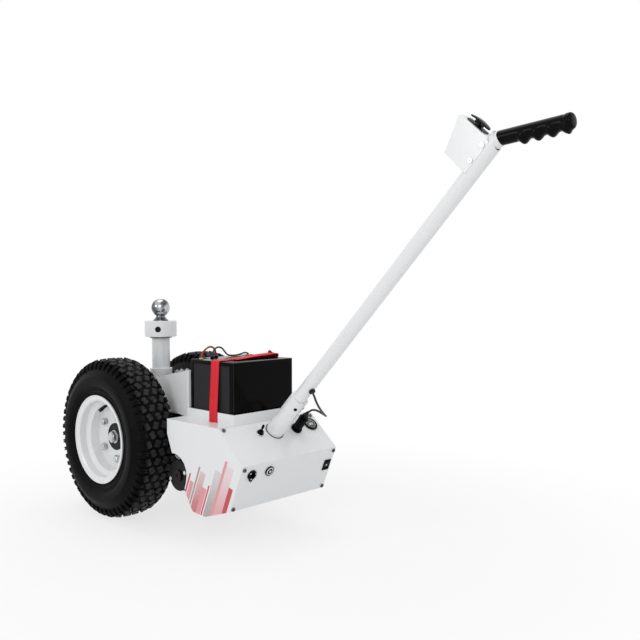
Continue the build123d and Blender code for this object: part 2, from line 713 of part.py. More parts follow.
def make_switches():
    centre = on_slope(*toggle_place)
    n = slope_normal
    body = rod(centre + n * 0.05, centre + n * 2.6, 9.4)
    body += rod(centre - n * 14, centre + n * 8.5, 5.9)
    body += prism(centre + n * 2.0, centre + n * 5.0, 7.6, 6)
    frame = Plane(origin=centre - n * 26, x_dir=(1, 0, 0), z_dir=n)
    body += extrude(frame * Rectangle(14, 22), 18)
    body -= rod(centre + n * 2.7, centre + n * 12, 4.4)
    pivot = centre + n * 5.5
    pin_reach = Vector(5.3, 0, 0)
    body -= rod(pivot - pin_reach, pivot + pin_reach, toggle_pin_radius + 0.05)
    add("toggle_switch", body)
    lean = (n * 0.94 + Vector(0.12, 0, 0) - slope_dir * 0.30).normalized()
    lever = Pos(pivot.X, pivot.Y, pivot.Z) * Sphere(2.6)
    lever += rod(pivot - pin_reach * 0.98, pivot + pin_reach * 0.98, toggle_pin_radius)
    lever += rod(pivot, pivot + lean * 14, 2.2)
    tip = pivot + lean * 16
    lever += rod(pivot + lean * 10, tip, 3.1)
    lever += Pos(tip.X, tip.Y, tip.Z) * Sphere(3.1)
    add("toggle_lever", lever)

    centre = on_rear(charge_x, device_z)
    n = rear_normal
    shell = rod(centre + n * 0.05, centre + n * 3.5, 11.8)
    shell += rod(centre - n * 16, centre + n * 1, 9.4)
    shell -= rod(centre - n * 10, centre + n * 5, 7.6)
    tab = centre + rear_dir * 12.5
    shell += rod(tab + n * 0.05, tab + n * 3.2, 4.2)
    for angle in (90, 210, 330):
        x = 3.6 * math.cos(math.radians(angle))
        along = rear_dir * (-3.6 * math.sin(math.radians(angle)))
        pin = centre + Vector(x, 0, 0) + along
        shell += rod(pin - n * 11, pin - n * 4.0, 1.3)
    add("charge_socket", shell)

    centre = on_rear(breaker_x, device_z)
    body = rod(centre + n * 0.05, centre + n * 3.2, 11.8)
    body += rod(centre - n * 8, centre + n * 1, 8.9)
    frame = Plane(origin=centre - n * 30, x_dir=(1, 0, 0), z_dir=n)
    body += extrude(frame * Rectangle(24, 30), 22.5)
    body -= rod(centre - n * 12, centre + n * 6, 6.6)
    add("breaker_body", body)
    button = rod(centre - n * 6.0, centre + n * 4.2, 6.5)
    button = fillet(button.edges().filter_by(GeomType.CIRCLE).sort_by(Axis.Y)[0], 1.2)
    add("breaker_button", button)

    centre = on_rear(rocker_x, rocker_z)
    shell = rocker_block(centre, 21.0, 28.0, 0.05, 2.2)
    shell += rocker_block(centre, 19.0, 26.0, -18, 0.5)
    shell -= rocker_block(centre, 15.2, 21.2, -9, 5)
    add("rocker_frame", shell)
    tilt = 9.0
    blade = rocker_block(centre, 14.6, 17.6, -4.5, 1.6)
    hub = rod(centre + Vector(-7.3, 0, 0) - n * 3.5, centre + Vector(7.3, 0, 0) - n * 3.5, 4.0)
    button = blade + hub
    axis = Axis(origin=centre - n * 3.5, direction=(1, 0, 0))
    add("power_rocker", button.rotate(axis, tilt))

    centre = on_slope(*gauge_place)
    n = slope_normal
    bezel = rod(centre + n * 0.05, centre + n * 4.0, 18.8)
    bezel = fillet(bezel.edges().filter_by(GeomType.CIRCLE), 0.9)
    bezel += rod(centre - n * 16, centre + n * 1, gauge_radius)
    bezel -= rod(centre + n * 2.6, centre + n * 6, 15.2)
    add("battery_gauge", bezel)

    centre = on_slope(plug_x, plug_y)
    base = rod(centre + n * 0.05, centre + n * 5.0, 13.6)
    base += rod(centre - n * 14, centre + n * 1, 10.0)
    base += prism(centre - n * 6.5, centre - n * 2.8, 14, 6)
    base -= rod(centre - n * 9, centre + n * 8, 8.6)
    add("cable_socket", base)
    plug = rod(centre - n * 8.5, centre + n * 7, 8.55)
    plug += rod(centre + n * 5.1, centre + n * 34, 10.6)
    plug += rod(centre + n * 33, centre + n * 40, 11.6)
    plug += rod(centre + n * 39, centre + n * plug_length, 7.4)
    plug -= rod(centre + n * (plug_length - 8), centre + n * (plug_length + 2), cable_radius)
    add("cable_plug", plug)


def make_tray_and_battery():
    half = tray_half_width
    outer = block(-half, half, tray_rear_y, tray_front_y, battery_bottom_z - tray_wall, tray_lip_z)
    inner = block(
        -half + tray_wall, half - tray_wall,
        tray_rear_y + tray_wall, tray_front_y - tray_wall, battery_bottom_z, 320,
    )
    tray = outer - inner
    tray += block(-half, half, tray_front_y - tray_wall, tray_front_y, battery_bottom_z, stop_top_z)
    add("battery_tray", tray)
    body = block(
        -battery_half_width, battery_half_width, battery_rear_y, battery_front_y,
        battery_bottom_z, battery_top_z - 16,
    )
    lid = block(
        -battery_half_width - 0.9, battery_half_width + 0.9, battery_rear_y - 0.9, battery_front_y + 0.4,
        battery_top_z - 17, battery_top_z,
    )
    lid = chamfer(lid.edges().group_by(Axis.Z)[-1], 1.6)
    case = body + lid
    for side in (-1, 1):
        x0 = side * (battery_half_width - 3)
        x1 = side * (battery_half_width - 38)
        y0 = battery_front_y - 30
        y1 = battery_front_y - 4
        case -= block(x0, x1, y0, y1, battery_top_z - 12, battery_top_z + 5)
    for gland in lead_glands():
        case += gland
    add("battery_case", case)
    lugs = []
    for side in (-1, 1):
        x = side * (battery_half_width - 20)
        y = battery_front_y - 17
        z = battery_top_z - 12
        lug = block(x - 8, x + 8, y - 6, y + 6, z, z + 9)
        lug += prism((x, y, z + 8.5), (x, y, z + 14), 5.8, 6)
        lugs.append(lug)
    add("battery_terminals", *lugs)


def lead_glands():
    glands = []
    for lead, radius in zip(lead_points(), (red_lead_radius, black_lead_radius)):
        x, y, z = lead[-1]
        gland = rod((x, y, battery_top_z - 1), (x, y, battery_top_z + 5), 5.5)
        glands.append(gland - rod((x, y, z), (x, y, battery_top_z + 9), radius + 0.25))
    return glands


def strap_outline():
    low = deck_z - 9
    out = tray_half_width + 1.2
    near = battery_half_width + 1.4
    top = battery_top_z + 0.5
    t = strap_thick
    half_inner = [(out, low), (out, tray_lip_z + 3), (near, tray_lip_z + 12), (near, top)]
    half_outer = [
        (out + t, low), (out + t, tray_lip_z + 3.5), (near + t, tray_lip_z + 12.5), (near + t, top + t),
    ]
    points = [(-x, z) for x, z in half_outer]
    points += [(x, z) for x, z in reversed(half_outer)]
    points += [(x, z) for x, z in half_inner]
    points += [(-x, z) for x, z in reversed(half_inner)]
    return points


def make_strap():
    frame = Plane(origin=(0, strap_y + strap_width / 2, 0), x_dir=(1, 0, 0), z_dir=(0, -1, 0))
    band = extrude(frame * Polygon(*strap_outline(), align=None), strap_width, dir=(0, -1, 0))
    top = battery_top_z + 0.5 + strap_thick
    tail = [
        (-8, top + 0.4), (40, top + 2.0), (78, top + 1.2), (88, top + 4.0), (86, top + 6.6), (78, top + 7.4),
        (30, top + 5.6), (-40, top + 3.6), (-40, top + 5.0), (30, top + 7.2), (79, top + 9.0),
        (89, top + 7.6), (91, top + 3.4), (80, top + 0.1), (40, top + 0.5), (-8, top + 0.05),
    ]
    loose = extrude(frame * Polygon(*tail, align=None), strap_width, dir=(0, -1, 0))
    add("battery_strap", band, loose)


def cord(points, radius):
    points = [Vector(*p) for p in points]
    radii = []
    for before, corner, after in zip(points, points[1:], points[2:]):
        first = corner - before
        second = after - corner
        turn = math.radians(first.get_angle(second))
        radii.append(0.45 * min(first.length, second.length) / math.tan(turn / 2))
    path = FilletPolyline(*points, radius=radii)
    tube = sweep(Plane(origin=path @ 0, z_dir=path % 0) * Circle(radius), path=path)
    wanted = math.pi * radius ** 2 * path.length
    print("cord length", round(path.length, 1), "least radius", round(min(radii), 1),
          "volume ratio", round(tube.volume / wanted, 4))
    print("  radii", [round(r, 1) for r in radii])
    return tube


def cable_points():
    start = on_handle(cable_exit_u, 0) + cable_exit_way * 13.0
    second = on_handle(cable_exit_u, 0) + cable_exit_way * 29.0
    plug_top = on_slope(plug_x, plug_y) + slope_normal * (plug_length - 7.5)
    last = on_slope(plug_x, plug_y) + slope_normal * (plug_length + 11)
    middle = [
        (0.0, -563.0, 334.0), (13.0, -560.0, 319.0), (32.0, -553.0, 305.0), (53.0, -542.0, 294.0),
        (73.0, -525.0, 289.0), (78.0, -505.0, 294.0), (71.0, -488.0, 301.5),
    ]
    points = [tuple(start), tuple(second)] + middle + [tuple(last), tuple(plug_top)]
    return points


def lead_points():
    left = -battery_half_width + 20
    y = battery_front_y - 17
    z = battery_top_z + 3.2
    red = [
        (left, y, z), (left + 2, y, z + 9), (left + 12, y - 1, z + 20), (left + 26, y - 1, z + 26),
        (left + 40, y + 1, z + 21), (left + 47, y + 3, z + 10), (left + 48, y + 3, z - 1.4),
    ]
    right = battery_half_width - 20
    black = [
        (right, y, z), (right - 7, y - 0.5, z + 3.6), (right - 17, y - 1.5, z + 3.4),
        (right - 28, y - 2, z + 0.6), (right - 40, y - 2.5, z - 0.8), (right - 62, y - 4, z - 0.8),
        (right - 75, y - 5, z + 3), (right - 83, y - 5, z + 12.5), (right - 91, y - 5, z + 20.5),
        (right - 101.5, y - 5, z + 23.6), (right - 112, y - 5, z + 20.4), (right - 119, y - 5, z + 11.5),
        (right - 121, y - 5, z + 3), (right - 121, y - 5, z - 1.4),
    ]
    return red, black


def make_handle():
    tube = rod(on_handle(-40, 0), on_handle(socket_length, 0), socket_radius)
    below = on_slope(0, slope_top[0]) - slope_normal * (sheet + 4.6)
    frame = Plane(origin=below, x_dir=(1, 0, 0), z_dir=-slope_normal)
    tube -= extrude(frame * Rectangle(240, 480), 120)
    plate_centre = on_slope(6.0, -437.0) - slope_normal * (sheet + 0.1)
    plate_frame = Plane(origin=plate_centre, x_dir=(1, 0, 0), z_dir=-slope_normal)
    tube += extrude(plate_frame * RectangleRounded(76, 64, 5), 4.4)
    tube -= rod(on_handle(-60, 0), on_handle(200, 0), socket_bore)
    slit_frame = Plane(origin=on_handle(socket_length - 26, 0), x_dir=(1, 0, 0), z_dir=-handle_up)
    tube -= extrude(slit_frame * Rectangle(3.0, 60), 40)
    screws = []
    for side in (-1, 1):
        way = (Vector(side * 0.608, 0, 0) - handle_up * 0.794).normalized()
        spot = on_handle(socket_screw_u, 0)
        tube -= rod(spot + way * 12, spot + way * 40, 4.05)
        screw = rod(spot + way * 16.0, spot + way * 22.0, 4.0)
        screw -= prism(spot + way * 19.5, spot + way * 25, 2.3, 6)
        screws.append(screw)
    add("handle_socket", tube)
    sleeve_screw = rod((0, post_y + 24.4, 330), (0, post_y + 36, 330), 4.95)
    sleeve_screw += prism((0, post_y + 31.5, 330), (0, post_y + 38, 330), 9, 6)
    add("set_screws", sleeve_screw, *screws)

    pipe = rod(on_handle(6, 0), on_handle(handle_length + 30, 0), tube_radius)
    bore = rod(on_handle(0, 0), on_handle(handle_length - 14, 0), tube_radius - tube_wall)
    start = Vector(0, *grip_start)
    tilt = math.radians(grip_tilt)
    grip_way = Vector(0, -math.cos(tilt), math.sin(tilt))
    pipe -= bore
    pipe -= block(-40, 40, -1100, -900, grip_start[1] + 13.0, 1000)
    pipe -= block(-40, 40, -1200, grip_start[0] + 3.0, 700, 1000)
    stub = rod(start + grip_way * -14, start + grip_way * (grip_length - 6), stub_radius)
    pipe += stub
    hole_start = on_handle(cable_exit_u, 0)
    pipe -= rod(hole_start, hole_start + cable_exit_way * 30, 5.05)
    add("handle_tube", pipe)

    spot = hole_start
    grommet = rod(spot + cable_exit_way * 13.6, spot + cable_exit_way * 17, 5.0)
    grommet += rod(spot + cable_exit_way * 16.3, spot + cable_exit_way * 19.6, 7.4)
    grommet -= rod(spot + cable_exit_way * 10, spot + cable_exit_way * 25, cable_radius + 0.1)
    add("handle_grommet", grommet)
    add("handle_cable", cord(cable_points(), cable_radius))
    red, black = lead_points()
    add("battery_leads", cord(red, red_lead_radius), cord(black, black_lead_radius))

    body = rod(start, start + grip_way * (grip_length - 8), grip_radius)
    body += rod(start + grip_way * (grip_length - 12), start + grip_way * grip_length, grip_radius + 2)
    down = Vector(0, -math.sin(tilt), -math.cos(tilt))
    for index in range(4):
        along = 52 + index * 27
        ridge_centre = start + grip_way * along + down * 9.5
        ridge_ball = Pos(ridge_centre.X, ridge_centre.Y, ridge_centre.Z) * Sphere(12.2)
        body += ridge_ball & rod(start + grip_way * 20, start + grip_way * grip_length, 30)
    body -= rod(start - grip_way * 2, start + grip_way * (grip_length - 5.9), stub_radius)
    add("handle_grip", body)


def make_control_box():
    outline = [
        (box_low_u, 1.0), (box_low_u, box_low_w), (box_top_u - 3.5, box_top_w), (box_top_u, box_top_w - 2),
        (box_top_u + 3.5, 11.0), (box_top_u - 1.5, 1.0),
    ]
    hollow = [
        (box_low_u + box_sheet, -10.0), (box_low_u + box_sheet, box_low_w - 1.2),
        (box_top_u - 4.5, box_top_w - 2.5), (box_top_u - 1.7, box_top_w - 4.0), (box_top_u + 1.8, 11.0),
        (box_top_u + 1.8, -10.0),
    ]

    def handle_plate(points, x0, x1):
        placed = [on_handle(u, w) for u, w in points]
        return side_plate([(p.Y, p.Z) for p in placed], x0, x1)

    half = box_half_width
    shell = handle_plate(outline, -half, half) - handle_plate(hollow, -half + box_sheet, half - box_sheet)
    shell -= rod(on_handle(700, 0), on_handle(900, 0), tube_radius + 0.02)
    tube = Part() + nodes["handle_tube"]
    screws = []
    for side in (-1, 1):
        for along in (779.0, 814.0):
            near = on_handle(along, 8.0, side * (half + 0.05))
            far = on_handle(along, 8.0, side * (half + 3.0))
            inside = on_handle(along, 8.0, side * (tube_radius - 4.6))
            drill = rod(on_handle(along, 8.0, side * 8), on_handle(along, 8.0, side * 20), 2.5)
            shell -= drill
            tube -= drill
            head = rod(near, far, 4.6) + rod(inside, near, 2.4)
            key_start = on_handle(along, 8.0, side * (half + 1.6))
            key_end = on_handle(along, 8.0, side * (half + 4))
            head -= prism(key_start, key_end, 2, 6)
            screws.append(head)
    top_corner = on_handle(box_top_u, box_top_w - 2)
    tube_corner = on_handle(box_top_u + 3.5, 11.0)
    mid = tube_corner + (top_corner - tube_corner) * ((paddle_w - 11.0) / (box_top_w - 13.0))
    face_dir = (top_corner - tube_corner).normalized()
    face_normal = Vector(0, -face_dir.Z, face_dir.Y)
    plate_frame = Plane(origin=mid + face_normal * 0.1, x_dir=face_dir, z_dir=face_normal)
    plate = extrude(plate_frame * RectangleRounded(paddle_length, paddle_width + 3, 6), 1.6)
    for side in (-1, 1):
        ear_frame = Plane(origin=mid + Vector(side * 5.9, 0, 0), x_dir=face_dir, z_dir=face_normal)
        ear = extrude(ear_frame * Rectangle(8, 2.4), 8.4)
        plate += ear
    pivot = mid + face_normal * paddle_lift
    plate -= rod(pivot - Vector(9, 0, 0), pivot + Vector(9, 0, 0), paddle_pin_radius + 0.05)
    add("paddle_mount", plate)
    arch = []
    for step in range(9):
        share = step / 4 - 1
        arch.append((share * paddle_length / 2, 13.2 - 3.4 * share * share))
    under = [(p * 0.97, h - 3.6) for p, h in reversed(arch)]
    profile = [mid + face_dir * p + face_normal * h for p, h in arch + under]
    cap = side_plate([(p.Y, p.Z) for p in profile], -paddle_width / 2, paddle_width / 2)
    stem_frame = Plane(origin=mid + face_normal * 3.4, x_dir=face_dir, z_dir=face_normal)
    stem = extrude(stem_frame * RectangleRounded(20, 9.0, 2), 7.4)
    pin = rod(pivot - Vector(7.2, 0, 0), pivot + Vector(7.2, 0, 0), paddle_pin_radius)
    add("speed_paddle", cap + stem + pin)
    add("control_box", shell)
    add("handle_tube", tube)

    case = make_controller()
    floor = Part() + nodes["neck_floor"]
    low = neck_floor_z
    for x in (-36, 36):
        for y in (-48, -94):
            head = rod((x, y, low + 5.1), (x, y, low + 8), 4.6)
            screws.append(head + rod((x, y, low - 6), (x, y, low + 5.5), 2.4))
            drill = rod((x, y, low - 8), (x, y, low + 7), 2.5)
            case -= drill
            floor -= drill
    studs = controller_studs()
    for stud in studs:
        case -= stud
    screws.extend(studs)
    add("neck_floor", floor)
    add("small_screws", *screws)
    add("drive_controller", case)


def make_controller():
    low = neck_floor_z + 0.1
    case = block(-30, 30, -112, -22, low, 352)
    case = chamfer(case.edges().group_by(Axis.Z)[-1], 2)
    case += block(-24, 24, -106, -28, 350, 356)
    for index in range(7):
        y = -34 - index * 11
        case -= block(-31, -24, y - 3, y + 3, 290, 340)
        case -= block(24, 31, y - 3, y + 3, 290, 340)
    for side in (-1, 1):
        case += block(side * 25, side * 43, -57, -39, low, low + 5)
        case += block(side * 25, side * 43, -103, -85, low, low + 5)
    return case


def controller_studs():
    studs = []
    for x, y, top in ((0, -46, 367), (0, -66, 371), (0, -90, 374)):
        stud = rod((x, y, 351), (x, y, top), 3.0)
        stud += prism((x, y, 356.1), (x, y, 361.0), 6.5, 6)
        stud += prism((x, y, top - 9), (x, y, top - 3), 6.5, 6)
        studs.append(stud)
    return studs


def save():
    os.makedirs("parts", exist_ok=True)
    shift = Location((0, saved_shift_y, -floor_z))
    for name, solids in nodes.items():
        moved = [solid.moved(shift) for solid in solids]
        shape = moved[0] if len(moved) == 1 else Compound(children=moved)
        export_step(shape, os.path.join("parts", name + ".step"))
    print(len(nodes), "nodes, moved by", round(saved_shift_y, 2), -floor_z)


make_wheels()
make_drive()
make_bearings()
make_chassis()
make_mast()
make_housing()
make_switches()
make_tray_and_battery()
make_strap()
make_handle()
make_control_box()
save()
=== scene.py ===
import math

import bmesh
import bpy
from mathutils import Matrix, Vector


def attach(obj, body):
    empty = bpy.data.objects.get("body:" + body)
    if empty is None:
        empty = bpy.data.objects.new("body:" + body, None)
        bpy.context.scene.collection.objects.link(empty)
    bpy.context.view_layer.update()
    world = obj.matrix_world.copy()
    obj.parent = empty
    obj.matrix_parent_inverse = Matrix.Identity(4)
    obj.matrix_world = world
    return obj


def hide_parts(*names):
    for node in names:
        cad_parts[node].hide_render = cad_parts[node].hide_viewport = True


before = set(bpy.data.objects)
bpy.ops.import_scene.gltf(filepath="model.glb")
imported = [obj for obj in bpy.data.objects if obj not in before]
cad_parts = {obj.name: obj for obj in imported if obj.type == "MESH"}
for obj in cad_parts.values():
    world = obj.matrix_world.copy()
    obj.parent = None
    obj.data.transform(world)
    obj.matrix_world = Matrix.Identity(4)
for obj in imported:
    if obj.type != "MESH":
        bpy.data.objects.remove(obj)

bl_info = {
    "name": "Electric trailer dolly",
    "version": (1, 0, 0),
    "blender": (4, 5, 0),
    "location": "View3D > Sidebar > Dolly",
    "description": "Dresses the dolly's frame with tyres, battery, cords, fittings and finishes",
    "category": "Object",
}

# The part is drawn in millimetres on the housing's base lines. BASE moves those to the floor.
MM = 0.001
BASE = Vector((0.0, 0.46289, 0.009))
X = Vector((1.0, 0.0, 0.0))
Y = Vector((0.0, 1.0, 0.0))
Z = Vector((0.0, 0.0, 1.0))

WHEEL_OFFSET = 141.6
AXLE_Y = 27.2
AXLE_Z = 197.5
MOTOR_Y = -243.8
MOTOR_Z = 140.0
CHAIN_X = 50.0
WHEEL_Y = AXLE_Y * MM + BASE.y
WHEEL_Z = AXLE_Z * MM + BASE.z
# Radii, in metres, over which the painted highlight on the tread's outer faces comes in.
HIGHLIGHT_CROWN = (0.198, 0.205)

HANDLE_BASE = (-432.4, 256.7)
HANDLE_SLOPE = math.radians(45.8)
HANDLE_DIR = Vector((0.0, -math.cos(HANDLE_SLOPE), math.sin(HANDLE_SLOPE)))
HANDLE_UP = Vector((0.0, math.sin(HANDLE_SLOPE), math.cos(HANDLE_SLOPE)))
GRIP_START = (-1018.0, 856.6)
GRIP_TILT = math.radians(4.9)
GRIP_DIR = Vector((0.0, -math.cos(GRIP_TILT), math.sin(GRIP_TILT)))
GRIP_DOWN = Vector((0.0, -math.sin(GRIP_TILT), -math.cos(GRIP_TILT)))
GRIP_LENGTH = 142.0
GRIP_RIDGES = (49.0, 26.8)

SLOPE_TOP = Vector((0.0, -404.0, 272.0))
RIDGE = Vector((0.0, -486.8, 199.9))
COVER_FOOT = Vector((0.0, -442.0, 92.5))
SLOPE_DIR = (RIDGE - SLOPE_TOP).normalized()
SLOPE_OUT = Vector((0.0, SLOPE_DIR.z, -SLOPE_DIR.y))
REAR_DIR = (COVER_FOOT - RIDGE).normalized()
REAR_OUT = Vector((0.0, REAR_DIR.z, -REAR_DIR.y))

BATTERY = (Vector((-95.3, -390.2, 245.0)), Vector((95.3, -231.8, 415.2)))
STRAP_WIDTH = 0.030
ROCKER_LEAN = math.radians(9.0)


def spot(x, y, z):
    """A point of the drawing, in the frame's metres."""
    return Vector((x, y, z)) * MM + BASE


def on_slope(x, y):
    """A point of the rear cover's slope, in the drawing."""
    share = (y - SLOPE_TOP.y) / (RIDGE.y - SLOPE_TOP.y)
    return Vector((x, y, SLOPE_TOP.z + share * (RIDGE.z - SLOPE_TOP.z)))


def on_rear(x, z):
    """A point of the rear cover's upright face, in the drawing."""
    share = (z - RIDGE.z) / (COVER_FOOT.z - RIDGE.z)
    return Vector((x, RIDGE.y + share * (COVER_FOOT.y - RIDGE.y), z))


def on_handle(along, outward):
    """A point over the handle's middle line, in the drawing."""
    return Vector((0.0, *HANDLE_BASE)) + HANDLE_DIR * along + HANDLE_UP * outward


# ---- sizes and colours


def length_property(name, description, default):
    return bpy.props.FloatProperty(name=name, description=description, default=default, unit="LENGTH")


def colour_property(name, description, default):
    return bpy.props.FloatVectorProperty(
        name=name, description=description, subtype="COLOR", size=3, min=0.0, max=1.0, default=default
    )


class DollySizes(bpy.types.PropertyGroup):
    """Sizes of the pieces that the frame leaves to this dress"""

    tread_blocks: bpy.props.IntProperty(
        name="Tread blocks", description="Blocks in one row round a tyre", default=29, min=12
    )
    tread_depth: length_property("Tread depth", "Height of the blocks over the carcass", 0.0066)
    chain_links: bpy.props.IntProperty(
        name="Chain links", description="Links in the drive chain's loop", default=62, min=20
    )
    strap_width: length_property("Strap width", "Width of the battery strap", STRAP_WIDTH)
    cable_diameter: length_property("Cable diameter", "Control cable at the handle", 0.005)
    red_lead_diameter: length_property("Red lead diameter", "Positive battery lead", 0.0046)
    black_lead_diameter: length_property("Black lead diameter", "Negative battery lead", 0.0042)


class DollyColours(bpy.types.PropertyGroup):
    """Colours of the finishes"""

    coat: colour_property("Powder coat", "White coat on sheet metal and tubes", (0.80, 0.81, 0.82))
    rubber: colour_property("Rubber", "Tyres and rubber trim", (0.007, 0.007, 0.0075))
    plastic: colour_property("Plastic", "Battery, controller and switches", (0.008, 0.008, 0.009))
    strap: colour_property("Strap", "Webbing of the battery strap", (0.80, 0.020, 0.034))
    lead: colour_property("Red lead", "Sleeve of the positive lead", (0.36, 0.012, 0.02))
    print_deep: colour_property("Print, deep", "Darkest bars printed on the side panels", (0.55, 0.045, 0.07))
    print_rose: colour_property("Print, rose", "Middle bars printed on the side panels", (0.74, 0.30, 0.33))
    print_ash: colour_property("Print, ash", "Grey dots printed on the side panels", (0.36, 0.29, 0.30))


# ---- nodes


def feed(tree, socket, value):
    """Links or sets one input of a node."""
    if isinstance(value, Value):
        value = value.socket
    if isinstance(value, bpy.types.NodeSocket):
        tree.links.new(value, socket)
    elif socket.type == "RGBA" and len(value) == 3:
        socket.default_value = (*value, 1.0)
    else:
        socket.default_value = value


def add_node(tree, kind, settings=None, inputs=None):
    """A new node's outputs, its settings made first and its inputs fed after."""
    made = tree.nodes.new(kind)
    for key, value in (settings or {}).items():
        setattr(made, key, value)
    for key, value in (inputs or {}).items():
        feed(tree, made.inputs[key], value)
    return made.outputs


def maths(operation, reflected=False):
    """A method that adds a Math node, with the value itself last when reflected."""
    def method(self, *others):
        inputs = (*others, self) if reflected else (self, *others)
        return self.finish.node("ShaderNodeMath", {"operation": operation}, dict(enumerate(inputs)))
    return method


class Value:
    """A shader socket, so that sums on a surface can be written as sums."""

    __add__ = __radd__ = maths("ADD")
    __mul__ = __rmul__ = maths("MULTIPLY")
    __sub__, __rsub__ = maths("SUBTRACT"), maths("SUBTRACT", reflected=True)
    __truediv__, __rtruediv__ = maths("DIVIDE"), maths("DIVIDE", reflected=True)
    __abs__ = maths("ABSOLUTE")
    fraction, sine, root, most = maths("FRACT"), maths("SINE"), maths("SQRT"), maths("MAXIMUM")

    def __init__(self, finish, socket):
        self.finish = finish
        self.socket = socket

    def rise(self, low, high):
        """0 below low and 1 above high, with a smooth step between."""
        return self.finish.node(
            "ShaderNodeMapRange", {"interpolation_type": "SMOOTHSTEP"},
            {"Value": self, "From Min": low, "From Max": high},
        )

    def band(self, low, high, soft):
        """1 between low and high and 0 elsewhere, with soft edges."""
        return self.rise(low - soft, low + soft) * (1.0 - self.rise(high - soft, high + soft))


class Finish:
    """A procedural material and the tools to draw it."""

    def __init__(self, name, **constants):
        self.material = bpy.data.materials.new(name)
        self.material.use_nodes = True
        self.tree = self.material.node_tree
        self.shader = self.tree.nodes["Principled BSDF"]
        self.set(**constants)

    def node(self, kind, settings=None, inputs=None, output=0):
        return Value(self, add_node(self.tree, kind, settings, inputs)[output])

    def place(self, kind="Object"):
        return self.node("ShaderNodeTexCoord", output=kind)

    def parts(self, vector):
        split = add_node(self.tree, "ShaderNodeSeparateXYZ", None, {0: vector})
        return [Value(self, socket) for socket in split]

    def stretched(self, scale):
        return self.node("ShaderNodeMapping", None, {"Vector": self.place(), "Scale": scale})

    def noise(self, scale, detail=3.0, rough=0.5, vector=None):
        return self.node("ShaderNodeTexNoise", None, {
            "Vector": vector or self.place(), "Scale": scale, "Detail": detail, "Roughness": rough,
        })

    def cells(self, scale):
        return self.node("ShaderNodeTexVoronoi", None, {"Vector": self.place(), "Scale": scale})

    def mix(self, first, second, share):
        return self.node("ShaderNodeMix", {"data_type": "RGBA"}, {0: share, 6: first, 7: second}, output=2)

    def bump(self, height, strength, distance):
        inputs = {"Height": height, "Strength": strength, "Distance": distance}
        return self.node("ShaderNodeBump", None, inputs)

    def set(self, **sockets):
        """Feeds the shader, each socket named by its label in lower case."""
        for label, value in sockets.items():
            socket = label.replace("_", " ").title().replace("Ior", "IOR")
            feed(self.tree, self.shader.inputs[socket], value)

    def paint(self, ground, rough, normal, **more):
        """Gives the shader what changes over the surface, and what goes with it."""
        self.set(base_color=ground, roughness=rough, normal=normal, **more)
        return self.material


# ---- finishes

SOOT = (0.005, 0.005, 0.0055)


def shade(colour, factor):
    return tuple(min(1.0, part * factor) for part in colour)


def coat_ground(name, colour, rough, peel):
    """A sprayed coat: slight orange peel and an uneven gloss."""
    finish = Finish(name, coat_roughness=0.12, specular_ior_level=0.5)
    cloud = finish.noise(3.0, 4.0)
    ground = finish.mix(shade(colour, 0.985), colour, cloud.rise(0.1, 0.9))
    normal = finish.bump(finish.noise(260.0, 1.0), peel, 0.0001)
    return finish, ground, cloud * 0.06 + rough, normal


def white_coat(colours):
    finish, ground, gloss, normal = coat_ground("white_coat", colours.coat, 0.24, 0.02)
    return finish.paint(ground, gloss, normal, coat_weight=0.25)


# Bars printed on the side panels: start across the slant, width, top, ink, and whether dotted.
PRINT_BARS = (
    (0.074, 0.015, 0.150, "print_deep", False), (0.089, 0.027, 0.196, "print_rose", True),
    (0.116, 0.009, 0.204, "print_rose", False), (0.125, 0.024, 0.168, "print_ash", True),
    (0.153, 0.005, 0.120, "print_deep", False), (0.160, 0.017, 0.106, "print_rose", False),
    (0.177, 0.022, 0.140, "print_deep", True), (0.202, 0.006, 0.148, "print_ash", False),
    (0.211, 0.015, 0.100, "print_rose", False), (0.229, 0.006, 0.116, "print_deep", False),
)
PRINT_FOOT = -0.006
PRINT_EDGE = 0.0003
REAR_SLANT = 0.417
FOOT_SLANT = 0.30
DOT_PITCH = 0.0034


def printed_coat(colours):
    """The white coat with slanted bars, some of them of dots, printed on its lower rear."""
    finish, ground, gloss, normal = coat_ground("printed_coat", colours.coat, 0.24, 0.02)
    _, along, height = finish.parts(finish.place())
    slant = along + height * REAR_SLANT
    rise = height - along * FOOT_SLANT
    cell_a = ((slant + height) / DOT_PITCH).fraction() - 0.5
    cell_b = ((slant - height) / DOT_PITCH).fraction() - 0.5
    reach = (cell_a * cell_a + cell_b * cell_b).root()
    size = 0.52 - height.rise(0.08, 0.21) * 0.24
    dots = 1.0 - (reach - size).rise(-0.05, 0.05)
    colour = ground
    for start, width, top, ink, dotted in PRINT_BARS:
        mask = slant.band(start, start + width, PRINT_EDGE) * rise.band(PRINT_FOOT, top, PRINT_EDGE)
        colour = finish.mix(colour, getattr(colours, ink), mask * dots if dotted else mask)
    return finish.paint(colour, gloss, normal, coat_weight=0.25)


def black_coat(colours):
    finish, ground, gloss, normal = coat_ground("black_coat", SOOT, 0.30, 0.04)
    return finish.paint(ground, gloss, normal, specular_ior_level=0.14)


def cast_coat(colours):
    """Black paint over a sand-cast skin."""
    finish = Finish("cast_coat", specular_ior_level=0.12)
    grain = finish.noise(260.0, 5.0, 0.65)
    ground = finish.mix(SOOT, (0.014, 0.0135, 0.0135), grain.rise(0.45, 0.75))
    normal = finish.bump(grain + finish.cells(330.0) * 0.4, 0.4, 0.0004)
    return finish.paint(ground, grain * 0.2 + 0.42, normal)


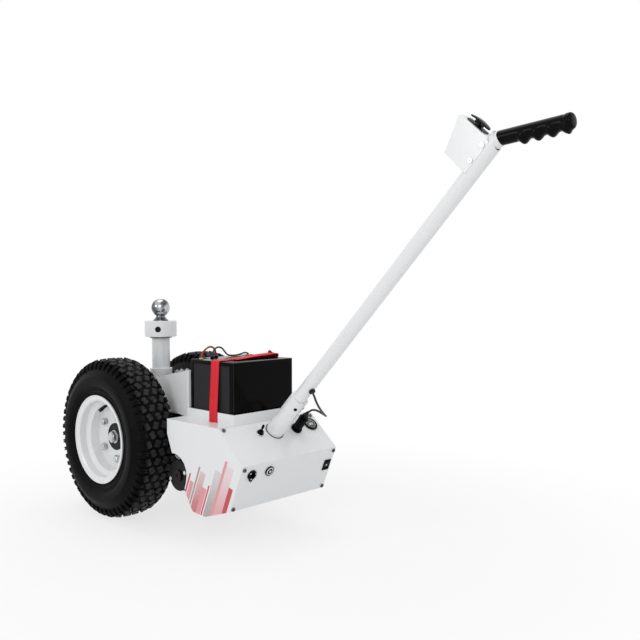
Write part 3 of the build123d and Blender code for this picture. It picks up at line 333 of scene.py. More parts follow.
def tyre_rubber(colours):
    """Dusty rubber, with a painted highlight that makes the tread's outer faces paler."""
    finish = Finish("tyre_rubber", specular_ior_level=0.055)
    dust = finish.noise(34.0, 5.0, 0.6)
    grain = finish.noise(900.0, 3.0)
    _, along, height = finish.parts(finish.place())
    along = along - WHEEL_Y
    height = height - WHEEL_Z
    # Painted highlight: beyond the crown radius the rubber is made paler, broken up by the dust noise.
    wear_and_highlight = (along * along + height * height).root().rise(*HIGHLIGHT_CROWN)
    ground = finish.mix(shade(colours.rubber, 0.35), shade(colours.rubber, 0.8), dust.rise(0.42, 0.78))
    ground = finish.mix(ground, shade(colours.rubber, 6.5), wear_and_highlight * (dust * 0.6 + 0.4))
    normal = finish.bump(grain + dust * 2.0, 0.18, 0.0003)
    return finish.paint(ground, dust * 0.2 + 0.34, normal)


def trim_rubber(colours):
    finish = Finish("trim_rubber", specular_ior_level=0.25)
    grain = finish.noise(1100.0, 2.0)
    ground = finish.mix(colours.rubber, shade(colours.rubber, 1.5), finish.noise(60.0).rise(0.35, 0.7))
    normal = finish.bump(grain, 0.2, 0.0002)
    return finish.paint(ground, grain * 0.15 + 0.42, normal)


def metal(name, colour, dark, rough, scale, stretch):
    """Bare or plated metal with fine brush lines and darker patches."""
    finish = Finish(name, metallic=1.0)
    lines = finish.noise(scale, 4.0, 0.6, finish.stretched(stretch))
    patches = finish.noise(45.0, 4.0)
    ground = finish.mix(dark, colour, patches.rise(0.25, 0.62))
    normal = finish.bump(lines, 0.1, 0.0001)
    return finish.paint(ground, lines * 0.16 + patches * 0.1 + rough, normal)


# Bare and plated metals: name, colour, darker patches, roughness, scale and stretch of the brush lines.
METALS = (
    ("bright_steel", (0.66, 0.67, 0.68), (0.48, 0.48, 0.49), 0.16, 300.0, (1, 1, 6)),
    ("oiled_steel", (0.16, 0.155, 0.15), (0.05, 0.048, 0.046), 0.24, 500.0, (1, 1, 1)),
    ("black_screw", (0.020, 0.020, 0.021), (0.009, 0.009, 0.0095), 0.26, 700.0, (1, 1, 1)),
    ("terminal_brass", (0.72, 0.55, 0.26), (0.50, 0.37, 0.17), 0.2, 400.0, (1, 6, 1)),
)


def polished_chrome(colours):
    finish = Finish("polished_chrome", metallic=1.0)
    haze_and_reflection = finish.noise(48.0, 2.0, 0.4)
    hairs = finish.noise(900.0, 2.0, 0.5, finish.stretched((1.0, 1.0, 0.08)))
    # Painted reflection: the colour is dark, and darker still in patches, standing in for dark surroundings
    # reflected in the chrome.
    ground = finish.mix((0.10, 0.104, 0.11), (0.46, 0.47, 0.49), haze_and_reflection.rise(0.42, 0.60))
    normal = finish.bump(haze_and_reflection * 2.0 + hairs * 0.05, 0.3, 0.0012)
    return finish.paint(ground, haze_and_reflection * 0.06 + 0.02, normal)


def moulded(name, colour, rough, grain_scale, grain_strength, gleam):
    """A moulded plastic with its grain and a slightly uneven gloss."""
    finish = Finish(name, specular_ior_level=gleam)
    cloud = finish.noise(22.0, 3.0)
    ground = finish.mix(colour, shade(colour, 1.6), cloud.rise(0.4, 0.8))
    normal = finish.bump(finish.cells(grain_scale), grain_strength, 0.0003)
    return finish.paint(ground, cloud * 0.12 + rough, normal)


def grained_plastic(colours):
    return moulded("grained_plastic", shade(colours.plastic, 0.8), 0.36, 1300.0, 0.2, 0.14)


def glossy_plastic(colours):
    return moulded("glossy_plastic", shade(colours.plastic, 0.2), 0.09, 500.0, 0.01, 0.07)


def battery_plastic(colours):
    """Battery walls: glossy black ribs, with a grey grain in the sunk panels of the sides."""
    finish = Finish("battery_plastic", specular_ior_level=0.05)
    across = abs(finish.parts(finish.place())[0])
    sunk = (1.0 - across.rise(0.0938, 0.0945)) * across.rise(0.0925, 0.0928)
    cloud = finish.noise(16.0, 4.0, 0.6)
    smear = finish.noise(9.0, 5.0, 0.65, finish.stretched((1.0, 1.0, 2.2)))
    ground = finish.mix(shade(colours.plastic, 0.2), shade(colours.plastic, 0.5), cloud.rise(0.5, 0.85))
    ground = finish.mix(ground, shade(colours.plastic, 3.4), sunk)
    normal = finish.bump(finish.noise(1500.0, 2.0) * sunk + smear * 0.4, 0.2, 0.0003)
    return finish.paint(ground, smear * 0.10 + sunk * 0.32 + 0.08, normal)


def webbing(colours):
    """Woven strap, read from its own map: u runs across it and v along it, both in metres."""
    finish = Finish("webbing", specular_ior_level=0.2)
    u, v, _ = finish.parts(finish.place("UV"))
    rib = (v * 2300.0).sine() * 0.5 + 0.5
    yarn = (u * 3300.0 + (v * 1150.0).sine() * 1.2).sine() * 0.5 + 0.5
    weave = rib * 0.6 + yarn * 0.4
    off_middle = abs(u - STRAP_WIDTH / 2)
    wear_and_highlight = finish.noise(120.0, 4.0, 0.6)
    # Painted shade: the weave's hollows are coloured darker than its raised yarn.
    ground = finish.mix(shade(colours.strap, 0.62), colours.strap, weave.rise(0.15, 0.7))
    ground = finish.mix(ground, shade(colours.strap, 0.8), off_middle.rise(0.0128, 0.0132))
    ground = finish.mix(ground, (0.78, 0.42, 0.42), off_middle.band(0.0064, 0.0072, 0.0003) * 0.1)
    ground = finish.mix(ground, (0.80, 0.22, 0.22), wear_and_highlight.rise(0.62, 0.85) * 0.15)
    normal = finish.bump(weave, 0.6, 0.0004)
    return finish.paint(ground, wear_and_highlight * 0.25 + 0.42, normal)


def sleeve(name, dark, light, scale, high, rough):
    """Smooth insulation with soft clouds in its colour and gloss."""
    finish = Finish(name)
    cloud = finish.noise(scale, 3.0)
    ground = finish.mix(dark, light, cloud.rise(0.3, high))
    normal = finish.bump(cloud, 0.1, 0.0002)
    return finish.paint(ground, cloud * 0.15 + rough, normal)


def lead_sleeve(colours):
    return sleeve("lead_sleeve", shade(colours.lead, 0.75), colours.lead, 80.0, 0.6, 0.3)


def cable_sleeve(colours):
    return sleeve("cable_sleeve", (0.012, 0.012, 0.012), (0.024, 0.024, 0.025), 90.0, 0.7, 0.34)


def dial_white(colours):
    finish = Finish("dial_white")
    cloud = finish.noise(300.0, 3.0)
    ground = finish.mix((0.74, 0.75, 0.76), (0.86, 0.87, 0.88), cloud)
    normal = finish.bump(cloud, 0.1, 0.0001)
    return finish.paint(ground, cloud * 0.1 + 0.35, normal)


def clear_glass(colours):
    finish = Finish("clear_glass", transmission_weight=1.0, ior=1.46)
    haze_and_reflection = finish.noise(60.0, 2.0)
    ground = finish.mix((0.9, 0.92, 0.92), (0.98, 0.98, 0.98), haze_and_reflection)
    normal = finish.bump(haze_and_reflection, 0.02, 0.0001)
    return finish.paint(ground, haze_and_reflection * 0.03 + 0.01, normal)


FINISHES = (
    white_coat, printed_coat, black_coat, cast_coat, tyre_rubber, trim_rubber, polished_chrome,
    grained_plastic, glossy_plastic, battery_plastic, webbing, lead_sleeve, cable_sleeve, dial_white,
    clear_glass,
)

# The finish of each of the frame's nodes.
CAD_FINISHES = {
    "white_coat": "rim_left rim_right neck_plates neck_floor post_sleeve ball_post ball_collar deck "
                  "front_wall belly_pan rear_cover battery_tray handle_socket handle_tube control_box",
    "printed_coat": "side_panel_left side_panel_right",
    "black_coat": "wheel_hubs gearbox motor motor_mount axle_brackets",
    "cast_coat": "bearing_housings",
    "tyre_rubber": "tyre_left tyre_right",
    "trim_rubber": "valve_stems handle_grommet handle_cable",
    "bright_steel": "lug_nuts axle_shaft axle_nuts frame_bolts axle_bearings small_screws breaker_button",
    "oiled_steel": "axle_sprocket drive_chain motor_sprocket post_ring cover_screws",
    "black_screw": "set_screws collar_screw toggle_switch",
    "polished_chrome": "tow_ball",
    "terminal_brass": "battery_terminals",
    "grained_plastic": "battery_case paddle_mount speed_paddle drive_controller",
    "glossy_plastic": "handle_grip cable_plug cable_socket battery_gauge power_rocker rocker_frame "
                      "charge_socket breaker_body toggle_lever",
    "webbing": "battery_strap",
    "lead_sleeve": "battery_leads",
}


def wear(data, finish):
    """Gives a mesh or curve one finish."""
    data.materials.clear()
    data.materials.append(bpy.data.materials[finish])


def build_finishes(colours):
    for maker in FINISHES:
        maker(colours)
    for row in METALS:
        metal(*row)
    for finish, nodes in CAD_FINISHES.items():
        for node in nodes.split():
            wear(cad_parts[node].data, finish)


# ---- meshes


def add_object(name, data):
    made = bpy.data.objects.new(name, data)
    bpy.context.scene.collection.objects.link(made)
    return made


def smooth(mesh, angle):
    """Smooth shading, with the edges above an angle in degrees kept sharp."""
    mesh.shade_smooth()
    mesh.set_sharp_from_angle(angle=math.radians(angle))


class Sketch:
    """Closed shells gathered into one mesh."""

    def __init__(self, rings=None, looped=False):
        self.mesh = bmesh.new()
        if rings:
            self.skin(rings, looped)

    def take(self, mesh):
        self.mesh.from_mesh(mesh)
        bpy.data.meshes.remove(mesh)

    def skin(self, rings, looped=False):
        """Joins rings of equal counts; an open row gets a face at each end."""
        made = [[self.mesh.verts.new(point) for point in ring] for ring in rings]
        pairs = list(zip(made, made[1:]))
        if looped:
            pairs.append((made[-1], made[0]))
        for first, second in pairs:
            for index in range(len(first)):
                after = (index + 1) % len(first)
                self.mesh.faces.new((first[index], first[after], second[after], second[index]))
        if not looped:
            self.mesh.faces.new(made[0])
            self.mesh.faces.new(made[-1])

    def lathe(self, profile, centre, axis, steps=96):
        """Turns a closed profile of (along, radius) in millimetres round an axis through centre."""
        turn = axis.to_track_quat("Z", "Y")
        rings = []
        for a in turns(steps):
            out = turn @ Vector((math.cos(a), math.sin(a), 0.0))
            rings.append([centre + (axis * along + out * radius) * MM for along, radius in profile])
        self.skin(rings, looped=True)

    def slab(self, outline, centre, across, up, out, low, high, edge=0.0):
        """A plate of an outline in millimetres, from low to high along out, with a chamfer."""
        rings = []
        levels = [(low, 0.0), (high, 0.0)]
        if edge:
            levels = [(low, edge), (low + edge, 0.0), (high - edge, 0.0), (high, edge)]
        reach = max(math.hypot(a, b) for a, b in outline)
        for level, inset in levels:
            keep = 1.0 - inset / reach
            rings.append([centre + ((across * a + up * b) * keep + out * level) * MM for a, b in outline])
        self.skin(rings)

    def block(self, low, high, rounding, steps):
        """A box between two points of the drawing, with rounded edges."""
        part = bmesh.new()
        bmesh.ops.create_cube(part, size=1.0)
        size = Vector(high) - Vector(low)
        middle = (Vector(high) + Vector(low)) / 2
        for vert in part.verts:
            vert.co = (Matrix.Diagonal(size) @ vert.co + middle) * MM
        bmesh.ops.bevel(
            part, geom=part.edges[:], offset=rounding * MM, segments=steps, profile=0.5, affect="EDGES"
        )
        part.transform(Matrix.Translation(BASE))
        mesh = bpy.data.meshes.new("block")
        part.to_mesh(mesh)
        part.free()
        self.take(mesh)

    def mesh_only(self, name):
        """Ends the sketch as a mesh with all its faces turned outwards."""
        bmesh.ops.recalc_face_normals(self.mesh, faces=self.mesh.faces[:])
        mesh = bpy.data.meshes.new(name)
        self.mesh.to_mesh(mesh)
        self.mesh.free()
        return mesh

    def done(self, name, finish, angle=38.0):
        """Ends the sketch as a clean, smooth object with its finish."""
        bmesh.ops.remove_doubles(self.mesh, verts=self.mesh.verts[:], dist=2e-6)
        loose = [edge for edge in self.mesh.edges if not edge.link_faces]
        bmesh.ops.delete(self.mesh, geom=loose, context="EDGES")
        mesh = self.mesh_only(name)
        wear(mesh, finish)
        smooth(mesh, angle)
        return add_object(name, mesh)


def mount(piece, body, slot, *nodes):
    """Gives a piece its body and hides the nodes that it stands for; its slot is not used."""
    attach(piece, body)
    if nodes:
        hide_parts(*nodes)
    return piece


def turned(name, finish, body, slot, profile, place, axis, steps, *nodes, angle=38.0):
    """A piece that is one turned profile."""
    sketch = Sketch()
    sketch.lathe(profile, place, axis, steps)
    return mount(sketch.done(name, finish, angle), body, slot, *nodes)


def turns(count):
    """Angles evenly round a circle."""
    return [2 * math.pi * index / count for index in range(count)]


def plate(left, low, right, high):
    """Outline of an upright plate."""
    return [(left, low), (right, low), (right, high), (left, high)]


# ---- patterns


class Pattern:
    """A Geometry Nodes tree whose named inputs set its sizes."""

    def __init__(self, name, inputs):
        self.tree = bpy.data.node_groups.new(name, "GeometryNodeTree")
        face = self.tree.interface
        face.new_socket("Geometry", in_out="INPUT", socket_type="NodeSocketGeometry")
        face.new_socket("Geometry", in_out="OUTPUT", socket_type="NodeSocketGeometry")
        self.keys = {}
        for label, kind, value in inputs:
            made = face.new_socket(label, in_out="INPUT", socket_type="NodeSocket" + kind)
            if value is not None:
                made.default_value = value
            self.keys[label] = made.identifier
        self.inputs = self.tree.nodes.new("NodeGroupInput").outputs
        self.exit = self.tree.nodes.new("NodeGroupOutput")

    def node(self, kind, settings=None, inputs=None):
        return add_node(self.tree, kind, settings, inputs)

    def close(self, geometry):
        """Makes the copies real and gives them their finish."""
        real = self.node("GeometryNodeRealizeInstances", None, {"Geometry": geometry})
        shown = self.node(
            "GeometryNodeSetMaterial", None, {"Geometry": real[0], "Material": self.inputs["Finish"]}
        )
        self.tree.links.new(shown[0], self.exit.inputs[0])
        return self

    def grow(self, base, **values):
        """Runs the tree on a base mesh and returns plain faces."""
        holder = add_object(self.tree.name, base)
        modifier = holder.modifiers.new(self.tree.name, "NODES")
        modifier.node_group = self.tree
        for label, value in values.items():
            modifier[self.keys[label.replace("_", " ")]] = value
        evaluated = holder.evaluated_get(bpy.context.evaluated_depsgraph_get())
        made = bpy.data.meshes.new_from_object(evaluated)
        holder.modifiers.clear()
        bpy.data.objects.remove(holder)
        return made


def round_pattern():
    """Copies of the base shape, evenly round an axis through a middle."""
    pattern = Pattern("Copies round an axis", (
        ("Count", "Int", 12), ("First angle", "Float", 0.0), ("Step", "Float", 0.5),
        ("Axis", "Vector", (1.0, 0.0, 0.0)), ("Middle", "Vector", (0.0, 0.0, 0.0)),
        ("Finish", "Material", None),
    ))
    given = pattern.inputs
    line = pattern.node(
        "GeometryNodeMeshLine", {"mode": "OFFSET"},
        {"Count": given["Count"], "Start Location": given["Middle"], "Offset": (0.0, 0.0, 0.0)},
    )
    index = pattern.node("GeometryNodeInputIndex")
    angle = pattern.node(
        "ShaderNodeMath", {"operation": "MULTIPLY_ADD"},
        {0: index[0], 1: given["Step"], 2: given["First angle"]},
    )
    turn = pattern.node("FunctionNodeAxisAngleToRotation", None, {"Axis": given["Axis"], "Angle": angle[0]})
    copies = pattern.node(
        "GeometryNodeInstanceOnPoints", None,
        {"Points": line[0], "Instance": given["Geometry"], "Rotation": turn[0]},
    )
    return pattern.close(copies[0])


def round_copies(ring, shape, count, step, first, axis, middle, finish):
    """Real copies of a shape round an axis, the angles in radians."""
    return ring.grow(
        shape, Count=count, Step=step, First_angle=first, Axis=tuple(axis), Middle=middle,
        Finish=bpy.data.materials[finish],
    )


def chain_pattern():
    """Links on every second edge of a loop, turned about X to lie along it."""
    pattern = Pattern("Links along a loop", (
        ("Loop", "Object", None), ("Parity", "Int", 0), ("Finish", "Material", None),
    ))
    given = pattern.inputs
    loop = pattern.node("GeometryNodeObjectInfo", None, {"Object": given["Loop"]})
    ends = pattern.node("GeometryNodeInputMeshEdgeVertices")
    way = pattern.node(
        "ShaderNodeVectorMath", {"operation": "SUBTRACT"}, {0: ends["Position 2"], 1: ends["Position 1"]}
    )
    marked = pattern.node(
        "GeometryNodeStoreNamedAttribute", {"data_type": "FLOAT_VECTOR", "domain": "EDGE"},
        {"Geometry": loop["Geometry"], "Name": "way", "Value": way[0]},
    )
    points = pattern.node("GeometryNodeMeshToPoints", {"mode": "EDGES"}, {"Mesh": marked[0]})
    stored = pattern.node("GeometryNodeInputNamedAttribute", {"data_type": "FLOAT_VECTOR"}, {"Name": "way"})
    turn = pattern.node(
        "FunctionNodeAlignRotationToVector", {"axis": "Y", "pivot_axis": "X"}, {"Vector": stored[0]}
    )
    index = pattern.node("GeometryNodeInputIndex")
    odd = pattern.node("ShaderNodeMath", {"operation": "MODULO"}, {0: index[0], 1: 2.0})
    chosen = pattern.node("ShaderNodeMath", {"operation": "COMPARE"}, {0: odd[0], 1: given["Parity"], 2: 0.1})
    copies = pattern.node(
        "GeometryNodeInstanceOnPoints", None,
        {"Points": points[0], "Selection": chosen[0], "Instance": given["Geometry"], "Rotation": turn[0]},
    )
    return pattern.close(copies[0])


# ---- tyres

# Half profiles across a tyre, offset and radius: the tread's outer face, and the closed carcass.
CROWN = (
    (0, 206.5), (8, 206.5), (20, 205.8), (34.5, 203.6), (43, 199.5), (50, 191.0), (57, 176.5),
    (60.8, 160.0),
)
CARCASS = (
    (0, 199.9), (12, 199.7), (24, 198.6), (33.5, 196.4), (40.5, 192.4), (46.6, 185.2), (50.6, 177.6),
    (54.4, 170.6), (57.6, 163.2), (58.9, 162.6), (59.9, 160.6), (60.0, 154.0), (59.7, 147.0), (58.9, 141.4),
    (57.2, 136.0), (56.2, 134.6), (57.4, 133.4), (57.0, 131.8), (55.4, 130.8), (54.3, 128.8), (55.5, 127.8),
    (55.1, 126.4), (53.3, 125.4), (52.0, 122.2), (52.9, 121.0), (52.5, 119.6), (50.8, 118.6), (49.6, 113.4),
    (49.4, 105.0), (46.5, 101.9), (36, 101.9), (40.5, 108.0), (47, 124.0), (52, 143.0), (53.5, 157.0),
    (49.5, 170.0), (42, 181.0), (32, 186.6), (18, 189.6), (0, 190.6),
)
# Half a block's outline, long way first; its other half is the same turned round.
BLOCK = ((8.8, 2.2), (6.4, 6.2), (1.3, 6.5), (0.7, 3.2), (-0.7, 3.2), (-1.3, 6.5), (-7.4, 6.3), (-8.8, 4.4))
BLOCK_TWIST = math.radians(24.0)
ROW_PITCH = 12.3
# How far blocks and lugs reach into the carcass, and where lugs start, end and begin to sink.
ROOT = 1.6
LUG_STARTS = (47.0, 38.5)
LUG_END = 69.0
LUG_STEPS = 6
LUG_FADE = 0.62


def along_crown(distance):
    """Offset and radius of the tread's outer face that far from the middle, its way on and its way out."""
    walked = 0.0
    for (x0, r0), (x1, r1) in zip(CROWN, CROWN[1:]):
        length = math.hypot(x1 - x0, r1 - r0)
        if walked + length >= distance or (x1, r1) == CROWN[-1]:
            share = (distance - walked) / length
            way = ((x1 - x0) / length, (r1 - r0) / length)
            return (x0 + share * (x1 - x0), r0 + share * (r1 - r0)), way, (-way[1], way[0])
        walked += length


def wrapped(offset, radius, around):
    """A point of the tyre, from its offset, radius and distance round the tread, in millimetres."""
    angle = around / CROWN[0][1]
    return Vector((offset, radius * math.sin(angle), radius * math.cos(angle))) * MM


def tread_block(row, depth, twist):
    """A steep-sided block with cut corners and a slit across its face, turned a little on the tyre."""
    side = -1.0 if row < 0 else 1.0
    (offset, radius), way, out = along_crown(abs(row))
    rings = []
    for keep, height in ((1.12, -depth - ROOT), (1.0, -0.5), (0.95, 0.0)):
        ring = []
        for long, wide in (*BLOCK, *((-a, -b) for a, b in BLOCK)):
            around = long * math.cos(twist) - wide * math.sin(twist)
            across = long * math.sin(twist) + wide * math.cos(twist)
            x = offset + way[0] * across * keep + out[0] * height
            r = radius + way[1] * across * keep + out[1] * height
            ring.append(wrapped(side * x, r, around * keep))
        rings.append(ring)
    return Sketch(rings).mesh_only("tread_block")


def shoulder_lug(side, start, depth):
    """A bar down the shoulder with a slit along its middle, sinking into the sidewall at its end."""
    half = [(-5.6, -depth - ROOT), (-4.9, -0.6), (-4.4, 0.0), (-1.1, 0.0), (-0.8, -2.2)]
    section = half + [(-around, height) for around, height in reversed(half)]
    rings = []
    for step in range(LUG_STEPS + 1):
        share = step / LUG_STEPS
        (offset, radius), _, out = along_crown(start + share * (LUG_END - start))
        fade = max(0.0, share - LUG_FADE) / (1.0 - LUG_FADE) * depth * 0.95
        keep = 1.0 - 0.12 * share
        ring = []
        for around, height in section:
            sunk = height - fade if height > -depth else height - 0.6
            ring.append(wrapped(side * (offset + out[0] * sunk), radius + out[1] * sunk, around * keep))
        rings.append(ring)
    return Sketch(rings).mesh_only("shoulder_lug")


def build_tyres(sizes):
    ring = round_pattern()
    count = sizes.tread_blocks
    step = 2 * math.pi / count
    depth = sizes.tread_depth / MM
    for name, side in (("left", -1.0), ("right", 1.0)):
        middle = spot(side * WHEEL_OFFSET, AXLE_Y, AXLE_Z)
        sketch = Sketch()
        sketch.lathe([*CARCASS, *((-x, r) for x, r in reversed(CARCASS[1:-1]))], middle, X, count * 4)
        shapes = []
        for row in range(-3, 4):
            twist = BLOCK_TWIST if row in (-3, -2, 1, 2) else -BLOCK_TWIST
            shapes.append((tread_block(row * ROW_PITCH, depth, twist), 1 - row % 2))
        for way in (-1.0, 1.0):
            for late in (1, 0):
                shapes.append((shoulder_lug(way, LUG_STARTS[late], depth), late))
        for shape, late in shapes:
            sketch.take(round_copies(ring, shape, count, step, late * step / 2, X, middle, "tyre_rubber"))
        tyre = sketch.done(name + "_knobbly_tyre", "tyre_rubber", 34.0)
        mount(tyre, "wheel_axle", "tyre", "tyre_" + name)


# ---- wheel fastenings

LUG_CIRCLE = 57.15
LUG_FIRST = math.radians(38.0)
# Profiles turned on each nut, and their steps: cone, crown, stud end and stud foot.
LUG_TURNS = (
    (((1.8, 0), (1.8, 5.6), (6.6, 8.9), (6.6, 0)), 32),
    (((14.8, 0), (14.8, 7.9), (15.9, 7.2), (16.3, 6.1), (16.3, 0)), 32),
    (((16.0, 0), (16.0, 5.7), (17.4, 5.7), (18.0, 5.0), (18.0, 0)), 24),
    (((-16.0, 0), (-16.0, 7.6), (-9.4, 8.0), (-9.4, 0)), 24),
)


def build_lug_nuts():
    """Five coned nuts and their stud ends on each wheel."""
    ring = round_pattern()
    sketch = Sketch()
    centre = Y * LUG_CIRCLE * MM
    flats = [(9.8 * math.cos(a), 9.8 * math.sin(a)) for a in turns(6)]
    for side in (-1.0, 1.0):
        nut = Sketch()
        nut.slab(flats, centre, Y, Z, X * side, 6.4, 15.4, 0.7)
        for profile, steps in LUG_TURNS:
            nut.lathe(profile, centre, X * side, steps)
        middle = spot(side * WHEEL_OFFSET, AXLE_Y, AXLE_Z)
        nuts = nut.mesh_only("lug_nut")
        sketch.take(round_copies(ring, nuts, 5, 2 * math.pi / 5, LUG_FIRST, X, middle, "bright_steel"))
    mount(sketch.done("coned_lug_nuts", "bright_steel", 30.0), "wheel_axle", "steel", "lug_nuts")


# ---- chain

PITCH = 12.7
SMALL_TEETH = 9
LARGE_TEETH = 27


def chain_loop(links):
    """Places of the chain's rollers round both sprockets."""
    small = PITCH / 2 / math.sin(math.pi / SMALL_TEETH)
    large = PITCH / 2 / math.sin(math.pi / LARGE_TEETH)
    run_y, run_z = AXLE_Y - MOTOR_Y, AXLE_Z - MOTOR_Z
    reach = math.hypot(run_y, run_z)
    tilt = math.atan2(run_z, run_y)
    lean = math.asin((large - small) / reach)
    straight = reach * math.cos(lean)
    round_large = large * (math.pi + 2 * lean)
    round_small = small * (math.pi - 2 * lean)
    total = 2 * straight + round_large + round_small
    up = tilt + lean + math.pi / 2
    down = tilt - lean - math.pi / 2
    points = []
    for link in range(links):
        walk = total * link / links
        if walk < straight:
            y, z, radius, angle, way = MOTOR_Y, MOTOR_Z, small, up, tilt + lean
        elif walk < straight + round_large:
            y, z, radius, angle, way = AXLE_Y, AXLE_Z, large, up - (walk - straight) / large, None
        elif walk < 2 * straight + round_large:
            y, z, radius, angle, way = AXLE_Y, AXLE_Z, large, down, tilt - lean + math.pi
            walk -= straight + round_large
        else:
            walk -= 2 * straight + round_large
            y, z, radius, angle, way = MOTOR_Y, MOTOR_Z, small, down - walk / small, None
        y, z = y + radius * math.cos(angle), z + radius * math.sin(angle)
        if way is not None:
            y, z = y + walk * math.cos(way), z + walk * math.sin(way)
        points.append(spot(CHAIN_X, y, z))
    return points


def chain_link(reach, thick, start, rollers):
    """A pair of waisted side plates with the pins of one link, and rollers in every second link."""
    outline = []
    for end in (1, -1):
        for step in range(9):
            angle = math.radians(-70 + step * 17.5)
            outline.append((end * (PITCH / 2 + 5.1 * math.cos(angle)), end * 5.1 * math.sin(angle)))
        outline.append((0.0, end * 3.9))
    link = Sketch()
    for side in (-1.0, 1.0):
        link.slab(outline, Vector(), Y, Z, X * side, start, start + thick, 0.2)
    edge = reach - 0.3
    pin = [(-reach, 0), (-reach, 1.7), (-edge, 2.0), (edge, 2.0), (reach, 1.7), (reach, 0)]
    for centre in (Y * -PITCH / 2 * MM, Y * PITCH / 2 * MM):
        link.lathe(pin, centre, X, 12)
        if rollers:
            link.lathe([(-4.1, 0), (-4.1, 3.9), (4.1, 3.9), (4.1, 0)], centre, X, 16)
    return link.mesh_only("link")


def build_chain(sizes):
    points = chain_loop(sizes.chain_links)
    count = len(points)
    path_mesh = bpy.data.meshes.new("chain_path")
    path_mesh.from_pydata(points, [(index, (index + 1) % count) for index in range(count)], [])
    path = add_object("chain_path", path_mesh)
    pattern = chain_pattern()
    sketch = Sketch()
    for parity, link in ((0, chain_link(5.7, 1.4, 4.25, True)), (1, chain_link(7.15, 1.3, 5.75, False))):
        sketch.take(pattern.grow(link, Loop=path, Parity=parity, Finish=bpy.data.materials["oiled_steel"]))
    bpy.data.objects.remove(path)
    mount(sketch.done("roller_chain", "oiled_steel", 30.0), "chassis", "dark_steel", "drive_chain")


# ---- tow ball


def build_tow_ball():
    """Polished ball with a flat top, a waist and a flared foot."""
    ball_z, radius, flat, neck_z, steps = 532.4, 25.0, 1.2, 510.4, 28
    profile = [
        (462.3, 0), (462.3, 9.5), (497.3, 9.5), (497.3, 19.6), (498.0, 20.2), (499.4, 20.2), (500.2, 19.4),
        (501.8, 16.9), (503.8, 14.9), (506.2, 13.3), (508.6, 12.2),
    ]
    start = math.acos((neck_z - ball_z) / radius)
    stop = math.acos((radius - flat) / radius)
    for step in range(steps + 1):
        angle = start + (stop - start) * step / steps
        profile.append((ball_z + radius * math.cos(angle), radius * math.sin(angle)))
    profile.append((ball_z + radius - flat, 0))
    turned(
        "polished_tow_ball", "polished_chrome", "ball_mast", "chrome", profile, spot(0, AXLE_Y, 0), Z, 96,
        "tow_ball", angle=40.0,
    )


# ---- battery

GLAND = ((-0.6, 5.5), (1.0, 5.5), (1.6, 5.0), (4.4, 5.0), (5.0, 4.3))


def carve(piece, cutter):
    """Takes the cutter's shells out of the piece."""
    modifier = piece.modifiers.new("carve", "BOOLEAN")
    modifier.operation = "DIFFERENCE"
    modifier.solver = "EXACT"
    modifier.object = cutter
    evaluated = piece.evaluated_get(bpy.context.evaluated_depsgraph_get())
    made = bpy.data.meshes.new_from_object(evaluated)
    piece.modifiers.clear()
    piece.data = made
    bpy.data.objects.remove(cutter)
    smooth(made, 40.0)


def build_battery(sizes):
    """Case with sunk sides and wells for its terminals, and the glands that the leads end in."""
    low, high = BATTERY
    case = Sketch()
    case.block(low, high, 1.8, 3)
    battery = case.done("sealed_battery", "battery_plastic", 40.0)
    cutters = Sketch()
    for side in (-1.0, 1.0):
        near, far = sorted((side * (high.x - 1.6), side * (high.x + 8.0)))
        cutters.block((near, low.y + 13.0, low.z + 16.0), (far, high.y - 11.0, high.z - 9.0), 1.0, 2)
        near, far = sorted((side * (high.x - 3.0), side * (high.x - 38.0)))
        cutters.block((near, high.y - 30.0, high.z - 12.0), (far, high.y - 4.0, high.z + 8.0), 1.0, 2)
    near = (low.x + 14.0, low.y - 8.0, low.z + 14.0)
    far = (high.x - 14.0, low.y + 0.3, high.z - 9.0)
    cutters.block(near, far, 0.2, 1)
    carve(battery, cutters.done("cutter", "battery_plastic"))
    mount(battery, "chassis", "black_plastic", "battery_case")
    for name, route, diameter in (
        ("red", RED_LEAD, sizes.red_lead_diameter), ("black", BLACK_LEAD, sizes.black_lead_diameter),
    ):
        bore = diameter / MM / 2 + 0.3
        place = Vector((*route[-1][:2], BASE.z + high.z * MM))
        profile = [(-0.6, bore), *GLAND, (5.0, bore)]
        turned("lead_gland_" + name, "glossy_plastic", "chassis", "black_plastic", profile, place, Z, 32)


# ---- strap

STRAP_THICK = 1.5
STRAP_BEND = 3.0
STRAP_SECTION = ((-0.5, 0.0), (-0.47, 0.36), (0.47, 0.36), (0.5, 0.0), (0.47, -0.36), (-0.47, -0.36))


def rounded_path(path):
    """The path's points with an arc of five at each bend."""
    dense = [Vector(path[0])]
    for before, here, after in zip(path, path[1:], path[2:]):
        before, here, after = Vector(before), Vector(here), Vector(after)
        cut = min(STRAP_BEND, (here - before).length * 0.4, (after - here).length * 0.4)
        start = here + (before - here).normalized() * cut
        end = here + (after - here).normalized() * cut
        for step in range(5):
            t = step / 4
            dense.append(start * (1 - t) ** 2 + here * 2 * t * (1 - t) + end * t ** 2)
    dense.append(Vector(path[-1]))
    return dense


def ribbon(name, path, sizes):
    """Webbing along a path in millimetres, its width along Y, with its own map in metres."""
    dense = rounded_path(path)
    walk = [0.0]
    for first, second in zip(dense, dense[1:]):
        walk.append(walk[-1] + (second - first).length)
    width = sizes.strap_width / MM
    rings = []
    for index, point in enumerate(dense):
        way = (dense[min(len(dense) - 1, index + 1)] - dense[max(0, index - 1)]).normalized()
        side = (Y - way * way.y).normalized()
        out = side.cross(way)
        rings.append([spot(*(point + side * across * width + out * lift * STRAP_THICK))
                      for across, lift in STRAP_SECTION])
    sketch = Sketch(rings)
    sketch.mesh.verts.index_update()
    layer = sketch.mesh.loops.layers.uv.new("weave")
    for face in sketch.mesh.faces:
        for loop in face.loops:
            ring, corner = divmod(loop.vert.index, len(STRAP_SECTION))
            loop[layer].uv = ((STRAP_SECTION[corner][0] + 0.5) * sizes.strap_width, walk[ring] * MM)
    return sketch.done(name, "webbing", 50.0), walk[-1] * MM


